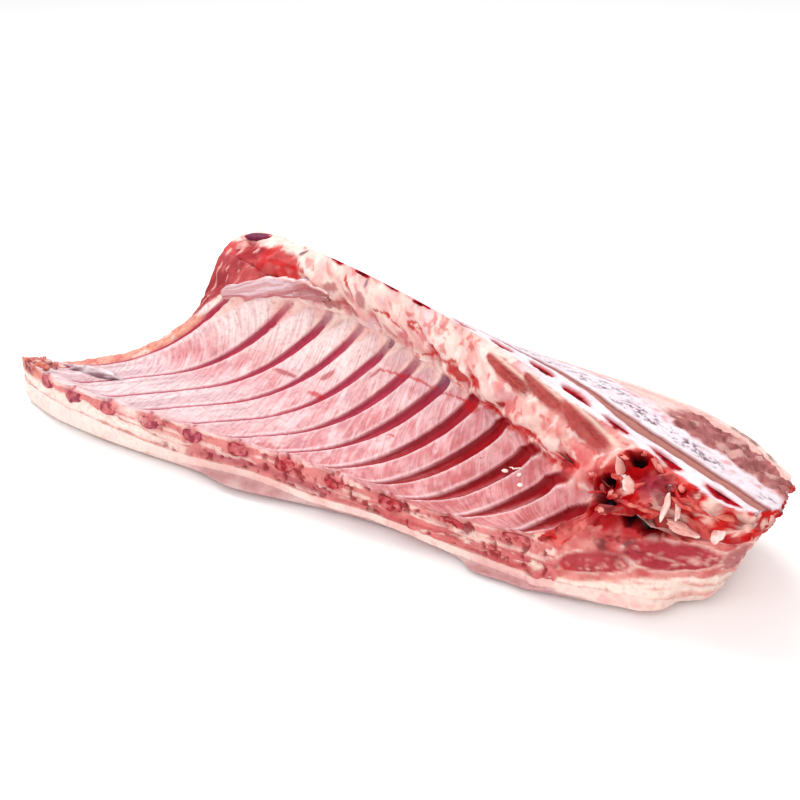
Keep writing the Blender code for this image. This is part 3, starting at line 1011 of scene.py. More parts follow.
# Ragged ovals on the wall: a colour, then (k, way, half length, half width) of each
TEARS = (
    (MUSCLE, (4.45, 0.205, 0.10, 0.035), (5.36, 0.125, 0.06, 0.030), (3.45, 0.262, 0.32, 0.012)),
)
DROPS = (
    (BLOOD, (4.75, 0.300, 0.26, 0.014), (7.35, 0.335, 0.16, 0.010), (8.1, 0.03, 0.25, 0.030),
     (9.0, 0.02, 0.20, 0.030)),
)
BACKBONE_MARKS = (
    (shade(184, 104, 100), (3.16, -0.51, 0.26, 0.13), (3.10, -0.20, 0.34, 0.10),
     (3.62, -0.27, 0.34, 0.08)),
    (shade(190, 96, 98), (4.02, -0.26, 0.20, 0.07)),
    (shade(186, 122, 124), (4.24, -0.56, 0.16, 0.11)),
    (shade(140, 104, 128), (4.23, -0.87, 0.05, 0.10)),
    (shade(120, 70, 96), (1.83, -0.89, 0.07, 0.09)),
)
LOIN_KNOB = (1.35, -0.84, 0.30, 0.10)
LOIN_BLOOD = (
    (shade(204, 22, 28), (1.02, -0.72, 0.16, 0.10), (1.86, -0.42, 0.34, 0.10),
     (1.55, -0.58, 0.6, 0.05), (1.2, -0.50, 0.12, 0.10), (2.0, -0.62, 0.25, 0.06)),
)
# Flat muscles on the backbone: k, way, half length and half width
LOBES = (
    (8.75, -0.775, 0.58, 0.105), (9.66, -0.815, 0.60, 0.095), (10.72, -0.765, 0.72, 0.120),
)
# Lines of blood: (k, way) corners and width
SCORED_LINE = ((5.3, 0.105), (6.25, 0.070), (7.2, 0.055), (7.9, 0.020))
BLOOD_LINES = (
    (((3.5, -0.80), (3.75, -0.70), (3.95, -0.54)), 0.045),
    (((4.6, -0.50), (5.2, -0.56), (5.6, -0.44)), 0.022),
    (((5.8, -0.62), (6.1, -0.70), (6.4, -0.58)), 0.022),
    (((6.2, -0.16), (6.8, -0.30), (7.3, -0.40), (7.6, -0.52)), 0.026),
    (((8.0, 0.00), (8.6, -0.10), (9.3, -0.20), (10.2, -0.26), (11.3, -0.30)), 0.030),
)
# Spots of blood on the backbone: k, way, half length and half width
BLOOD_SPOTS = (
    (7.65, -0.30, 0.34, 0.13), (6.75, -0.40, 0.18, 0.08), (8.5, -0.14, 0.38, 0.09),
    (7.1, -0.20, 0.16, 0.08), (9.6, -0.12, 0.34, 0.07), (10.6, -0.16, 0.30, 0.07),
    (6.0, -0.57, 0.16, 0.05), (5.15, -0.56, 0.12, 0.05), (11.2, -0.30, 0.26, 0.08),
    (8.1, -0.36, 0.20, 0.06), (9.0, -0.30, 0.16, 0.06),
)


def paint_marks(paint, surface, marks, strength, turn, ragged):
    """Ragged ovals from a table of marks."""
    for colour, *places in marks:
        for place in places:
            paint.cover(colour, strength * surface.patch(*place, turn, ragged))


def paint_wall_marks(paint, surface):
    """Scored line, tears and drops of blood on the wall of the chest."""
    paint.cover(BLOOD, 0.8 * surface.line(SCORED_LINE, 0.005, 0.3))
    paint_marks(paint, surface, TEARS, 0.8, 0.3, 0.35)
    paint_marks(paint, surface, DROPS, 0.7, 0.0, 0.35)


def paint_backbone_fat(paint, surface):
    """Fat, thin muscles and blood on the backbone; returns their relief."""
    k, way = surface.k, surface.way
    here = (surface.region == SLOPE) * smooth(-way / 0.05)
    cranial = rise(k, 6.5, 3.0)
    ridge = flat_noise(k * 2.4 - way * 3.0, way * 3.0, 102)
    fold = flat_noise(k * 5.0 - way * 7.0, way * 4.0, 103)
    lean_in = k - rib_shift(np.rint(k), way) - 0.05
    beat = 0.5 + 0.5 * np.cos(2.0 * np.pi * (lean_in - 0.10 * surface.lumps))
    heads = beat * bump(way, -0.22 - 0.10 * cranial, 0.20) * rise(k, 2.6, 0.6)
    hollow = (1.0 - beat) ** 2 * bump(way, -0.24 - 0.10 * cranial, 0.22)
    level = k + 0.25 * way
    discs = bump(np.abs(level - np.rint(level)), 0.5, 0.10) * rise(-way, 0.45, 0.15)
    rough = surface.cloud(0.006, 104)
    height = 0.0010 * ridge + 0.0006 * fold + 0.0015 * heads - 0.0018 * hollow
    height = here * (height + 0.0007 * discs + 0.0004 * rough)
    paint.layers(here, (
        (WHITE_FAT, smooth(ridge * 1.2 + heads) * 0.65),
        ((232, 164, 162), smooth(-ridge * 1.4 - 0.1) * 0.55),
        ((216, 116, 122), smooth(hollow * 1.6 - 0.25 + 0.25 * rough) * 0.75),
        ((214, 108, 112), rise(-fold, 0.30, 0.3) * 0.55),
        ((228, 206, 214), surface.islands(0.010, 101, 0.30, 0.3) * 0.5),
        ((216, 122, 116), cranial * 0.50),
        ((204, 90, 88), cranial * smooth(0.25 + 0.9 * rough) * 0.65),
        (CREAM, cranial * smooth((ridge + 0.3 * rough - 0.18) / 0.3) * 0.7),
        ((206, 62, 62), rise(k, 4.8, 1.2) * surface.islands(0.0038, 108, 0.42, 0.2) * 0.6),
        (WHITE_FAT, surface.islands(0.0055, 109, 0.32, 0.25) * 0.55),
    ))
    for lobe in LOBES:
        height += paint_lobe(paint, surface, here, *lobe)
    paint_marks(paint, surface, BACKBONE_MARKS, 0.8, 0.0, 0.45)
    for corners, width in BLOOD_LINES:
        drawn = surface.line(corners, width, 1.1)
        paint.cover((204, 12, 20), 0.85 * drawn)
        height -= 0.0005 * drawn * here
    for place in BLOOD_SPOTS:
        spot = surface.patch(*place, 0.4, 0.8)
        paint.layers(spot, ((BLOOD, 0.85), (BLOOD_DARK, 0.5 * rise(surface.small, 0.05, 0.3))))
        height -= 0.0003 * spot
    return height


def paint_lobe(paint, surface, here, centre, at, length, width):
    """A smooth flat muscle with a ribbon of fat beside it; returns its relief."""
    along = surface.k - centre
    across = (surface.way - at - 0.13 * along) / width
    oval = np.hypot(along / length, across) + 0.07 * surface.small + 0.08 * surface.lumps
    lobe = here * fall(oval, 1.15, 0.30)
    threads = flat_noise(across * width * 60.0, surface.k * 2.0, 105)
    paint.layers(lobe, (
        ((180, 84, 80), 0.95),
        ((142, 44, 46), smooth(0.4 - 0.8 * across + 0.7 * threads) * 0.75),
    ))
    ribbon = bump(across + 0.25 * along / length, -0.75, 0.22) * here * (oval < 1.5)
    paint.cover((244, 214, 200), ribbon * fall(oval, 1.5, 0.3) * 0.85)
    dome = np.sqrt(np.clip(1.15 - oval, 0.0, 1.0))
    return 0.0016 * lobe * dome - 0.0007 * bump(oval, 1.15, 0.12) * here


def paint_loin_block(paint, surface):
    """Cut muscle of the loin behind the last rib, with the thin flap's edge; its relief."""
    k, way = surface.k, surface.way
    ragged = surface.cloud(0.007, 111)
    upper = np.interp(k, (0.5, 0.8, 1.2, 1.6, 2.3), (-0.74, -0.80, -0.90, -0.80, -0.70))
    lower = np.interp(k, (0.6, 0.85, 1.1, 1.5, 2.4), (0.14, -0.04, -0.10, -0.25, -0.38))
    ends = smooth((way - upper - 0.06 * ragged) / 0.10) * smooth((lower + 0.04 * ragged - way) / 0.08)
    muscle = ends * smooth((2.25 + 0.25 * ragged - k) / 0.25) * surface.is_wall
    grain = flat_noise(k * 5.0, way * 16.0, 112)
    dark = smooth((1.45 - k + 0.3 * ragged) / 0.5) * smooth(0.75 + 0.8 * surface.cloud(0.012, 44))
    flecks = rise(flat_noise(k * 30.0, way * 9.0, 43), 0.50, 0.25) * fall(k, 1.2, 0.3)
    paint.layers(muscle, (
        ((206, 96, 96), 1.0),
        ((162, 50, 60), dark * 0.85),
        ((226, 140, 132), smooth(0.3 * grain + ragged - 0.25) * 0.7),
        (CREAM_PINK, flecks * 0.8),
    ))
    knob = surface.patch(*LOIN_KNOB, 0.0, 0.6)
    paint.cover(CREAM, 0.8 * knob)
    paint_marks(paint, surface, LOIN_BLOOD, 0.6, 0.2, 0.8)
    flap = surface.is_wall * fall(k, 0.99, 0.05) * rise(way, 0.08, 0.06)
    paint.layers(flap, (
        ((234, 166, 144), 0.9),
        ((210, 112, 102), 0.7 * smooth(0.3 + surface.cloud(0.006, 47))),
        (CREAM, 0.8 * surface.islands(0.008, 48, 0.25, 0.3)),
    ))
    on_muscle = 0.0012 * (ragged + 0.5 * grain) + 0.0005 * flecks
    return muscle * on_muscle + 0.0006 * flap * surface.small + 0.0012 * knob


def torn_hole(surface, reach=1.0):
    """How far each point is inside a hole of the torn neck; reach widens the holes."""
    hole = np.zeros(len(surface.rest))
    for place, size in TORN_HOLES:
        hole = np.maximum(hole, surface.near(place, tuple(reach * side for side in size), 4.0))
    return hole


def paint_torn_zone(paint, surface):
    """Torn meat, holes and blood where the neck was broken off, with painted shade in the holes; returns
    their relief.
    """
    x, _, z = (surface.rest / MM).T
    lumps, small = surface.lumps, surface.small
    end = surface.region == NECK_CAP
    above = smooth((z - 37.5 - 4.0 * rise(x, 172.0, 8.0) + 3.0 * lumps) / 2.5)
    start = 11.55 - 0.2 * lumps + 0.6 * smooth((surface.way + 0.35) / 0.2)
    hole = torn_hole(surface)
    cap = end * np.maximum(above, smooth(hole * 4.0))
    torn = np.maximum(surface.is_wall * smooth((surface.k - start) / 0.3), cap)
    shreds = surface.cloud(0.0045, 124)
    ragged = 0.22 * small + 0.12 * shreds
    wet = smooth(torn_hole(surface, 2.6) * 1.5 + 0.5 * ragged)
    low = end * surface.near((154.0, 21.0, 39.5), (17.0, 14.0, 7.0), 4.0)
    paint.layers(torn, (
        ((222, 104, 98), 0.9),
        ((176, 44, 50), smooth(0.40 + surface.cloud(0.006, 121)) * 0.85),
        ((204, 6, 14), smooth((surface.cloud(0.006, 122) + 0.06) / 0.22) * 0.85),
        ((250, 212, 200), surface.islands(0.007, 123, 0.18, 0.22) * 0.85),
        ((176, 74, 92), surface.near((158.0, 26.5, 59.0), (9.0, 9.0, 5.0), 4.0) * 0.8),
    ))
    paint.cover((184, 22, 32), low * smooth(0.7 + 2.0 * ragged) * 0.9)
    paint.layers(torn, (
        ((172, 0, 14), wet * 0.85),
        # Painted shade of the holes: darker red going in, near-black in the middle
        ((120, 0, 12), smooth((hole + ragged) * 3.0) * 0.9),
        (HOLE_SHADE, smooth((hole + ragged - 0.42) / 0.25)),
        ((70, 74, 100), surface.near((142.6, 13.2, 48.2), (2.2, 2.0, 0.9), 4.0) * 0.8),
    ))
    raised = (z > 43.0) & (x < 180.0) & (surface.way > -0.9)
    surface.torn = torn * (hole < 0.2) * (raised & (~surface.is_wall | (surface.way < -0.2)))
    relief = 0.0018 * shreds + 0.0012 * small + 0.0010 * lumps
    return torn * (relief - 0.0055 * smooth(hole * 1.2))


# ---------------------------------------------------------------- lean meat

def make_lean(material):
    """The lean meat, with the muscle pads between the ribs, the breast cut and the neck cut."""
    surface = loft(lean_ring, columns(LEAN_SPACING))
    flow = flow_of(surface)
    paint = Paint(surface, CREAM_PINK)
    cuts = np.isin(surface.region, (CUT, NECK_CAP, LOIN_CAP))
    height = cuts * (0.0009 * surface.lumps + 0.0005 * surface.small)
    for paint_part in (paint_breast_cut, paint_neck_cut, paint_loin_end, paint_wall):
        height += paint_part(paint, surface)
    finish_body(paint, surface, height, "lean_body", material, ["lean"], flow)
    return surface


def finish_body(paint, surface, height, name, material, nodes, flow):
    """Mottle, relief and the piece itself."""
    paint.vary(0.05 * surface.lumps + 0.04 * surface.small)
    surface.swell(height)
    make_piece(name, surface, paint.tint, material, nodes, flow)


def paint_loin_end(paint, surface):
    """The muscle of the loin where it was cut across; returns its relief."""
    seam = smooth(1.2 - np.abs(surface.cloud(0.030, 46)) * 26.0)
    seam = seam * smooth(0.35 + 2.0 * surface.cloud(0.024, 49))
    drawn_out = cloud(surface.rest * (1.0, 0.5, 1.4), 0.004, 50)
    cap = surface.region == LOIN_CAP
    paint.layers(cap, (
        (MUSCLE, 1.0),
        (MUSCLE_DARK, smooth(0.6 * surface.cloud(0.008, 45) + 0.3)),
        (CREAM, seam * 0.8),
        (CREAM_PINK, rise(drawn_out, 0.52, 0.2) * 0.7),
    ))
    return -0.0004 * seam * cap


def paint_breast_cut(paint, surface):
    """Layers of meat and fat at the sawn breast edge; returns their relief."""
    cut = surface.region == CUT
    k, h = surface.k, surface.share
    loin = fall(k, 6.2, 2.0)
    from_rib = k - np.rint(k)
    wander = 0.10 * surface.lumps
    ragged = surface.cloud(0.005, 57)
    layers = flat_noise(k * 1.3, h * 7.0 + 2.0 * wander, 52)
    layers = layers + 0.5 * flat_noise(k * 3.1, h * 15.0, 53)
    red_line = bump(h + 0.8 * wander, 0.36 + 0.13 * np.clip(k - 3.4, 0.0, 3.0), 0.035)
    band = bump(h + wander, 0.74, 0.16) * rise(k, 5.6, 0.8) * fall(k, 9.4, 0.8)
    meat = rise(k, 8.6, 1.2) * rise(h + wander, 0.42, 0.12)
    lines = smooth(1.2 - np.abs(flat_noise(k * 1.1, h * 5.0 + k * 0.9, 54)) * 12.0)
    tip = fall(k, 1.9, 0.6) * smooth((0.62 - h + wander) / 0.2)
    top = smooth((0.09 + 0.05 * ragged - h) / 0.05) * rise(k, 1.2, 0.4)
    around = bump(from_rib, 0.0, 0.26) * bump(h, 0.15, 0.26)
    fresh = rise(k, 5.0, 3.0)
    spots = surface.islands(0.004, 55, 0.45, 0.25) * rise(k, 4.0, 2.0)
    paint.layers(cut, (
        ((226, 146, 142), 1.0),
        ((196, 96, 100), smooth(0.20 + 0.9 * layers) * 0.75),
        (CREAM, smooth((layers + 0.4 * ragged - 0.10) / 0.3) * 0.75),
        ((250, 230, 220), loin * rise(h + wander, 0.34, 0.12)),
        ((206, 96, 92), loin * red_line * rise(k, 2.8, 0.8) * 0.85),
        ((182, 92, 104), band * 0.75),
        ((224, 132, 130), meat * 0.9),
        ((194, 82, 88), meat * smooth(0.2 + 0.8 * layers) * 0.8),
        ((250, 228, 216), meat * lines * 0.95),
        ((228, 150, 142), loin * rise(h + 0.5 * wander, 0.90, 0.06) * 0.6),
        ((226, 142, 120), tip * 0.85),
        ((176, 70, 72), tip * rise(ragged, 0.1, 0.3) * 0.8),
        ((248, 214, 204), top * (1.0 - bump(from_rib, 0.0, 0.24)) * 0.85),
        (blend((206, 112, 114), (206, 84, 84), fresh), around * smooth(0.6 + ragged) * 0.9),
        (blend((158, 72, 88), (156, 24, 38), fresh),
         around * surface.islands(0.0030, 58, 0.1, 0.3) * 0.75),
        ((150, 20, 34), spots * 0.8),
    ))
    bulge = 0.0016 * meat * flat_noise(k * 2.2, h * 2.0, 56) + 0.0008 * around
    return cut * (0.0008 * layers + bulge - 0.0010 * spots + 0.0007 * ragged - 0.0010 * meat * lines)


# Muscles of the neck cut: (y, z) middle and half sizes in mm, tilt and colour
NECK_MUSCLES = (
    ((30.0, 29.5), (12.5, 7.0), 0.16, (178, 58, 70)),
    ((7.5, 22.0), (11.0, 4.6), 0.10, (186, 74, 80)),
    ((47.0, 33.0), (4.5, 7.5), 0.0, (188, 120, 120)),
)


def paint_neck_cut(paint, surface):
    """Muscles, fat and marbling where the neck was cut off; returns their relief."""
    cap = surface.region == NECK_CAP
    x, y, z = (surface.rest / MM).T
    swirl = surface.cloud(0.014, 61)
    ragged = surface.cloud(0.005, 64)
    small = noise(x * 0.5, y * 0.5, z * 0.9, 65)
    flecks = rise(noise(x * 0.9, y * 0.5, z * 1.6, 68), 0.42, 0.2)
    paint.layers(cap, (
        ((230, 158, 150), 1.0),
        ((202, 84, 86), smooth(0.45 + swirl + 0.4 * ragged) * 0.85),
    ))
    height = cap * 0.0006 * ragged
    for centre, half, tilt, colour in NECK_MUSCLES:
        away_y = (y - centre[0]) / half[0]
        away_z = (z - centre[1] - tilt * (y - centre[0])) / half[1]
        oval = np.hypot(away_y, away_z) + 0.12 * swirl
        bent = noise(2.6 * oval + 0.5 * swirl, 0.9 * away_y, 0.9 * away_z, 66)
        arcs = smooth(1.0 - np.abs(bent) * 16.0)
        bundle = cap * fall(oval, 1.08, 0.16)
        paint.layers(bundle, (
            (colour, 1.0),
            ((158, 58, 64), smooth(0.1 + 0.9 * small + 0.3 * swirl) * 0.5),
            ((240, 196, 186), arcs * rise(oval, 0.2, 0.2) * 0.70),
            ((226, 160, 156), flecks * 0.40),
        ))
        paint.cover(CREAM, cap * bump(oval, 1.14, 0.07) * 0.7)
        height += bundle * (0.0014 * np.sqrt(np.clip(1.1 - oval, 0.0, 1.0)) - 0.0004 * arcs)
        height -= 0.0007 * cap * bump(oval, 1.12, 0.06)
    fat_top = 18.5 + 0.10 * (y - 20.0) - 3.0 * bump(y, 6.0, 9.0) + 1.6 * swirl
    fat = smooth((fat_top - z) / 1.5)
    pink_lines = smooth(1.1 - np.abs(noise(0.05 * x, 0.6 * z, 0.03 * y, 63)) * 6.0)
    around = surface.near((148.5, 16.0, 30.5), (10.0, 10.0, 6.5), 4.0)
    paint.layers(cap, (
        ((250, 228, 216), fat),
        ((232, 156, 148), fat * pink_lines * 0.8),
        (BLOOD, 0.8 * surface.near((136.0, -0.4, 17.8), (3.0, 3.0, 2.2))),
        ((176, 34, 46), around * smooth(0.5 + ragged) * 0.95),
        ((92, 8, 30), around * surface.islands(0.0028, 67, 0.05, 0.3) * 0.85),
    ))
    return height + cap * (0.0008 * fat * pink_lines)


# ---------------------------------------------------------------- ribs

def rib_ring(rib, way, sides):
    """Outline of a rib across its length: its stations and its points in space."""
    at_cut = rise(way, 0.93, 0.07)
    half = max(float(rib_width(rib, way)) + 0.06, float(mix(0.12, 0.19, at_cut)))
    recess = float(rib_recess(rib, way)) + 0.0002
    thick = RIB_THICK if way > 0.0 else RIB_HEAD_THICK
    points, stations = [], []
    for angle in np.linspace(0.0, 2.0 * np.pi, sides, endpoint=False):
        up = math.sin(angle)
        drop = 1.0 - (up ** 0.3 if up > 0.0 else up)
        k = rib + half * math.cos(angle) + float(rib_shift(rib, way))
        station = station_at(round(min(max(k, LOIN_END), NECK_END), 3))
        y, z = station.wall(min(way, 1.0), recess + 0.5 * thick * drop)
        points.append((plan_x(station.k, y, z), y - max(way - 1.0, 0.0) * 0.14, z))
        stations.append(k)
    return np.array(points), np.array(stations)


def make_rib(rib, material):
    """One rib: a dark band between the pads and a spongy oval at the breast cut."""
    sides = int(24 * FINE)
    surface = Surface()
    starts = []
    for way in [*spread(float(rib_reach(rib)), 1.0, int(100 * FINE)), 1.0, 1.006]:
        ring, stations = rib_ring(rib, way, sides)
        starts.append(surface.add(*ring.T, stations, way, CUT if way > 1.0 else CAVITY))
    for near, far in zip(starts, starts[1:]):
        surface.faces.extend(quads_between(near, far, sides))
    close_rib(surface, starts[0], sides, 1, rib)
    close_rib(surface, starts[-1], sides, int(8 * FINE), rib)
    surface.close()
    section = surface.region == CUT
    every = np.ones(len(surface.points))
    aside = surface.k - rib - rib_shift(rib, surface.share)
    paint = Paint(surface, MARROW)
    paint.cover(band_colour(rib * every, aside, surface.share), every)
    paint.vary(0.10 * surface.small)
    pores = surface.cloud(0.0022, 71)
    blotches = smooth(0.5 + 0.9 * surface.cloud(0.006, 72))[:, None]
    fresh = rise(rib, 5.0, 3.0)
    spongy = mix(shade(178, 96, 112), shade(190, 66, 74), fresh)
    paint.layers(section, (
        (mix(shade(208, 116, 118), spongy, blotches), 1.0),
        (mix(shade(152, 62, 84), shade(140, 14, 32), fresh), rise(pores, 0.05, 0.30) * 0.8),
        ((222, 140, 138), rise(-pores, 0.35, 0.3) * 0.6),
    ))
    surface.swell(section * (0.0003 * pores + 0.0003 * surface.small) + 0.00010 * surface.small)
    surface.fibre = 0.08 * every
    flow = np.stack((surface.k * 0.02, surface.share * WALL_LENGTH, 0.0 * every), axis=-1)
    number = f"{rib:02d}"
    nodes = [f"rib_{number}"]
    make_piece(f"rib_bone_{number}", surface, paint.tint, material, nodes, flow)


def close_rib(surface, start, size, steps, rib):
    """Fill a rib's end with rings that shrink to its middle."""
    rim = np.concatenate(surface.rows, axis=1)[:3, start:start + size]
    middle = rim.mean(axis=1, keepdims=True)
    region = CUT if steps > 1 else CAVITY
    outer = start
    for step in range(1, steps):
        scale = 1.0 - step / steps
        inner = surface.add(*(middle + (rim - middle) * scale), rib, 1.0, region)
        surface.faces.extend(quads_between(outer, inner, size))
        outer = inner
    share = 1.0 if steps > 1 else float(rib_reach(rib))
    tip = surface.add(*middle, rib, share, region)
    surface.faces.extend((outer + i, outer + (i + 1) % size, tip) for i in range(size))


# ---------------------------------------------------------------- fat cover

def make_fat(material):
    """The fat cover: cream fat with pink membrane, bare meat in streaks, a crumpled skin and painted shade
    on the underside near the breast edge.
    """
    surface = loft(fat_ring, columns(FAT_SPACING))
    k, share = surface.k, surface.share
    skin, cut = surface.region == SKIN, surface.region == CUT
    lumps = surface.cloud(0.020, 81)
    small = surface.cloud(0.006, 82)
    creases = 1.0 - np.abs(cloud(surface.rest * (1.0, 0.45, 1.0), 0.018, 83))
    red = cloud(surface.rest * (1.0, 1.8, 1.8), 0.022, 85) + 0.25 * small
    outside = skin & (share > 0.12)
    side = cut | (skin & (share < 0.16))
    paint = Paint(surface, CREAM)
    for colour, mask in (
        (CREAM_PINK, smooth(0.4 + lumps) * 0.8),
        (MUSCLE_PALE, outside * surface.islands(0.030, 84, 0.20, 0.6) * 0.75),
        (WHITE_FAT, outside * rise(small, 0.3, 0.4) * 0.7),
        ((250, 230, 222), side * fall(k, 6.4, 1.6) * 0.8),
        ((206, 136, 124), bump(share, 0.03 + 0.02 * small, 0.02) * skin * smooth(0.5 + 2.0 * lumps) * 0.7),
        # Painted shade on the underside just below the breast cut, from the middle towards the neck
        (UNDERSIDE_SHADE, skin * fall(share, 0.16, 0.05) * rise(k, 5.4, 0.6) * 0.55),
        (MUSCLE, outside * rise(red, 0.60, 0.35) * 0.65),
        (CREAM, surface.region == NECK_CAP),
        (CREAM_PINK, (surface.region == NECK_CAP) * smooth(small)),
        (DRIED, (surface.region == FACE) * smooth(0.4 + small) * rise(k, 10.5, 1.0)),
    ):
        paint.cover(colour, mask)
    paint.vary(0.05 * small)
    height = outside * (0.0010 * lumps + 0.0004 * small - 0.0005 * rise(creases, 0.85, 0.12))
    surface.swell(height + cut * 0.0005 * small)
    x, y, z = surface.rest.T
    flow = np.stack((z + y, x, y), axis=-1)
    make_piece("fat_layer", surface, paint.tint, material, ["fat_cover"], flow)


# ---------------------------------------------------------------- backbone

def make_backbone(material):
    """The sawn half backbone: marrow slots, canal and blades on top, fat and small muscles below."""
    surface = loft(backbone_ring, columns(BONE_SPACING))
    flow = flow_of(surface)
    paint = Paint(surface, CREAM)
    height = np.zeros(len(surface.points))
    for paint_part in (paint_sawn_face, paint_backbone_ends, paint_wall, paint_slots):
        height += paint_part(paint, surface)
    nodes = [f"vertebra_{number:02d}" for number in range(1, VERTEBRAE + 1)]
    finish_body(paint, surface, height, "backbone", material, nodes, flow)
    return surface


def paint_sawn_face(paint, surface):
    """Canal and spongy bone of the sawn face, and dried meat behind them; their relief."""
    k, share, lumps, small = surface.k, surface.share, surface.lumps, surface.small
    ragged = surface.cloud(0.005, 98)
    face = surface.region == FACE
    past_canal = share - (0.30 - 0.17 * rise(k, 8.4, 2.8) + 0.012 * lumps)
    groove = smooth((1.2 - np.abs(past_canal) / 0.052) / 0.45) * face
    border = 0.72 - 0.34 * rise(k, 9.2, 2.4) + 0.06 * lumps
    spongy = face * rise(past_canal, 0.07, 0.05) * smooth((border - share) / 0.06)
    pores = rise(surface.cloud(0.0017, 94, 2), 0.14, 0.20) * smooth(0.55 + surface.cloud(0.010, 95))
    meat = face * smooth((share - border - 0.06) / 0.05)
    dried = meat * smooth((k - 10.7 + 0.2 * lumps) / 0.4)
    for where, rows in (
        (face, (((240, 230, 236), 1.0), ((226, 200, 208), smooth(0.3 + small) * 0.6))),
        (groove, (
            ((186, 130, 122), 1.0),
            ((140, 74, 70), smooth(past_canal / 0.03 - 0.3) * 0.8),
            ((158, 96, 90), smooth(-past_canal / 0.03 - 0.5) * 0.6),
        )),
        (spongy, (((108, 72, 100), pores * 0.85),)),
        (face, (((224, 150, 150), bump(share, border + 0.03, 0.03) * smooth(0.4 + small) * 0.8),)),
        (meat, (((240, 206, 200), 0.9), ((224, 160, 156), smooth(0.2 + ragged) * 0.7))),
        (dried, (
            ((186, 122, 120), 1.0),
            ((142, 82, 84), smooth(0.3 + 0.9 * surface.cloud(0.0035, 96)) * 0.75),
            ((224, 182, 174), surface.islands(0.007, 97, 0.25, 0.3) * 0.7),
        )),
    ):
        paint.layers(where, rows)
    relief = 0.00015 * small + dried * (0.0010 * small + 0.0008 * ragged) + 0.0004 * meat * ragged
    relief = relief - 0.0010 * groove - 0.0004 * spongy * pores
    return face * (relief - bevel_depth(k) * (1.0 - smooth(share / 0.14)))


def paint_slots(paint, surface):
    """Dark marrow in the cut vertebrae, over what else is at the edge of the face; its relief."""
    k, face = surface.k, surface.region == FACE
    number = np.rint(k + 0.06)
    middle = np.interp(number, (3.0, 6.0, 7.0, 8.9, 9.9, 10.9, 12.9), (0.6, 1.2, 7.2, 7.4, 3.4, 0.4, -0.2))
    half = np.interp(number, (6.0, 7.0, 9.0, 11.0), (2.0, 3.0, 2.8, 1.9))
    from_edge = np.where(face, surface.share * FACE_SPAN, -(surface.way + 1.0) * SLOPE_SPAN)
    along = (k + 0.06 - number) / 0.29
    across = (from_edge - middle * MM) / (half * MM) + 0.5 * along
    oval = np.hypot(along, across) + 0.16 * surface.small
    near_edge = (face | ((surface.region == SLOPE) & (surface.way < -0.8))) & (number >= 3)
    slot = fall(oval, 1.20, 0.18) * near_edge * (number <= 13)
    core = smooth((0.75 - oval + 0.3 * surface.cloud(0.0016, 93, 2)) / 0.4)
    paint.layers(near_edge, (
        ((214, 120, 124), bump(oval, 1.15, 0.16) * 0.5),
        ((170, 16, 34), slot),
        ((100, 0, 16), slot * core),
    ))
    return -0.0014 * slot * face


def paint_backbone_ends(paint, surface):
    """Bone and meat at the two end cuts; returns their relief."""
    ends = np.isin(surface.region, (LOIN_CAP, NECK_CAP))
    paint.layers(ends, (
        (CREAM_PINK, 1.0),
        (MUSCLE, smooth(0.1 + surface.cloud(0.009, 131)) * 0.9),
        (CREAM, surface.islands(0.007, 133, 0.3, 0.3) * 0.9),
    ))
    return ends * (0.0006 * surface.small + 0.0008 * surface.cloud(0.006, 134))


# ---------------------------------------------------------------- membrane

def membrane_folds(k, across):
    """Large folds and fine creases of the membrane."""
    folds = flat_noise(k * 1.6 + 1.5 * across, across * 2.6 + 2.0 * k, 142)
    return folds, flat_noise(k * 3.4, across * 6.0 + 4.5 * k, 143)


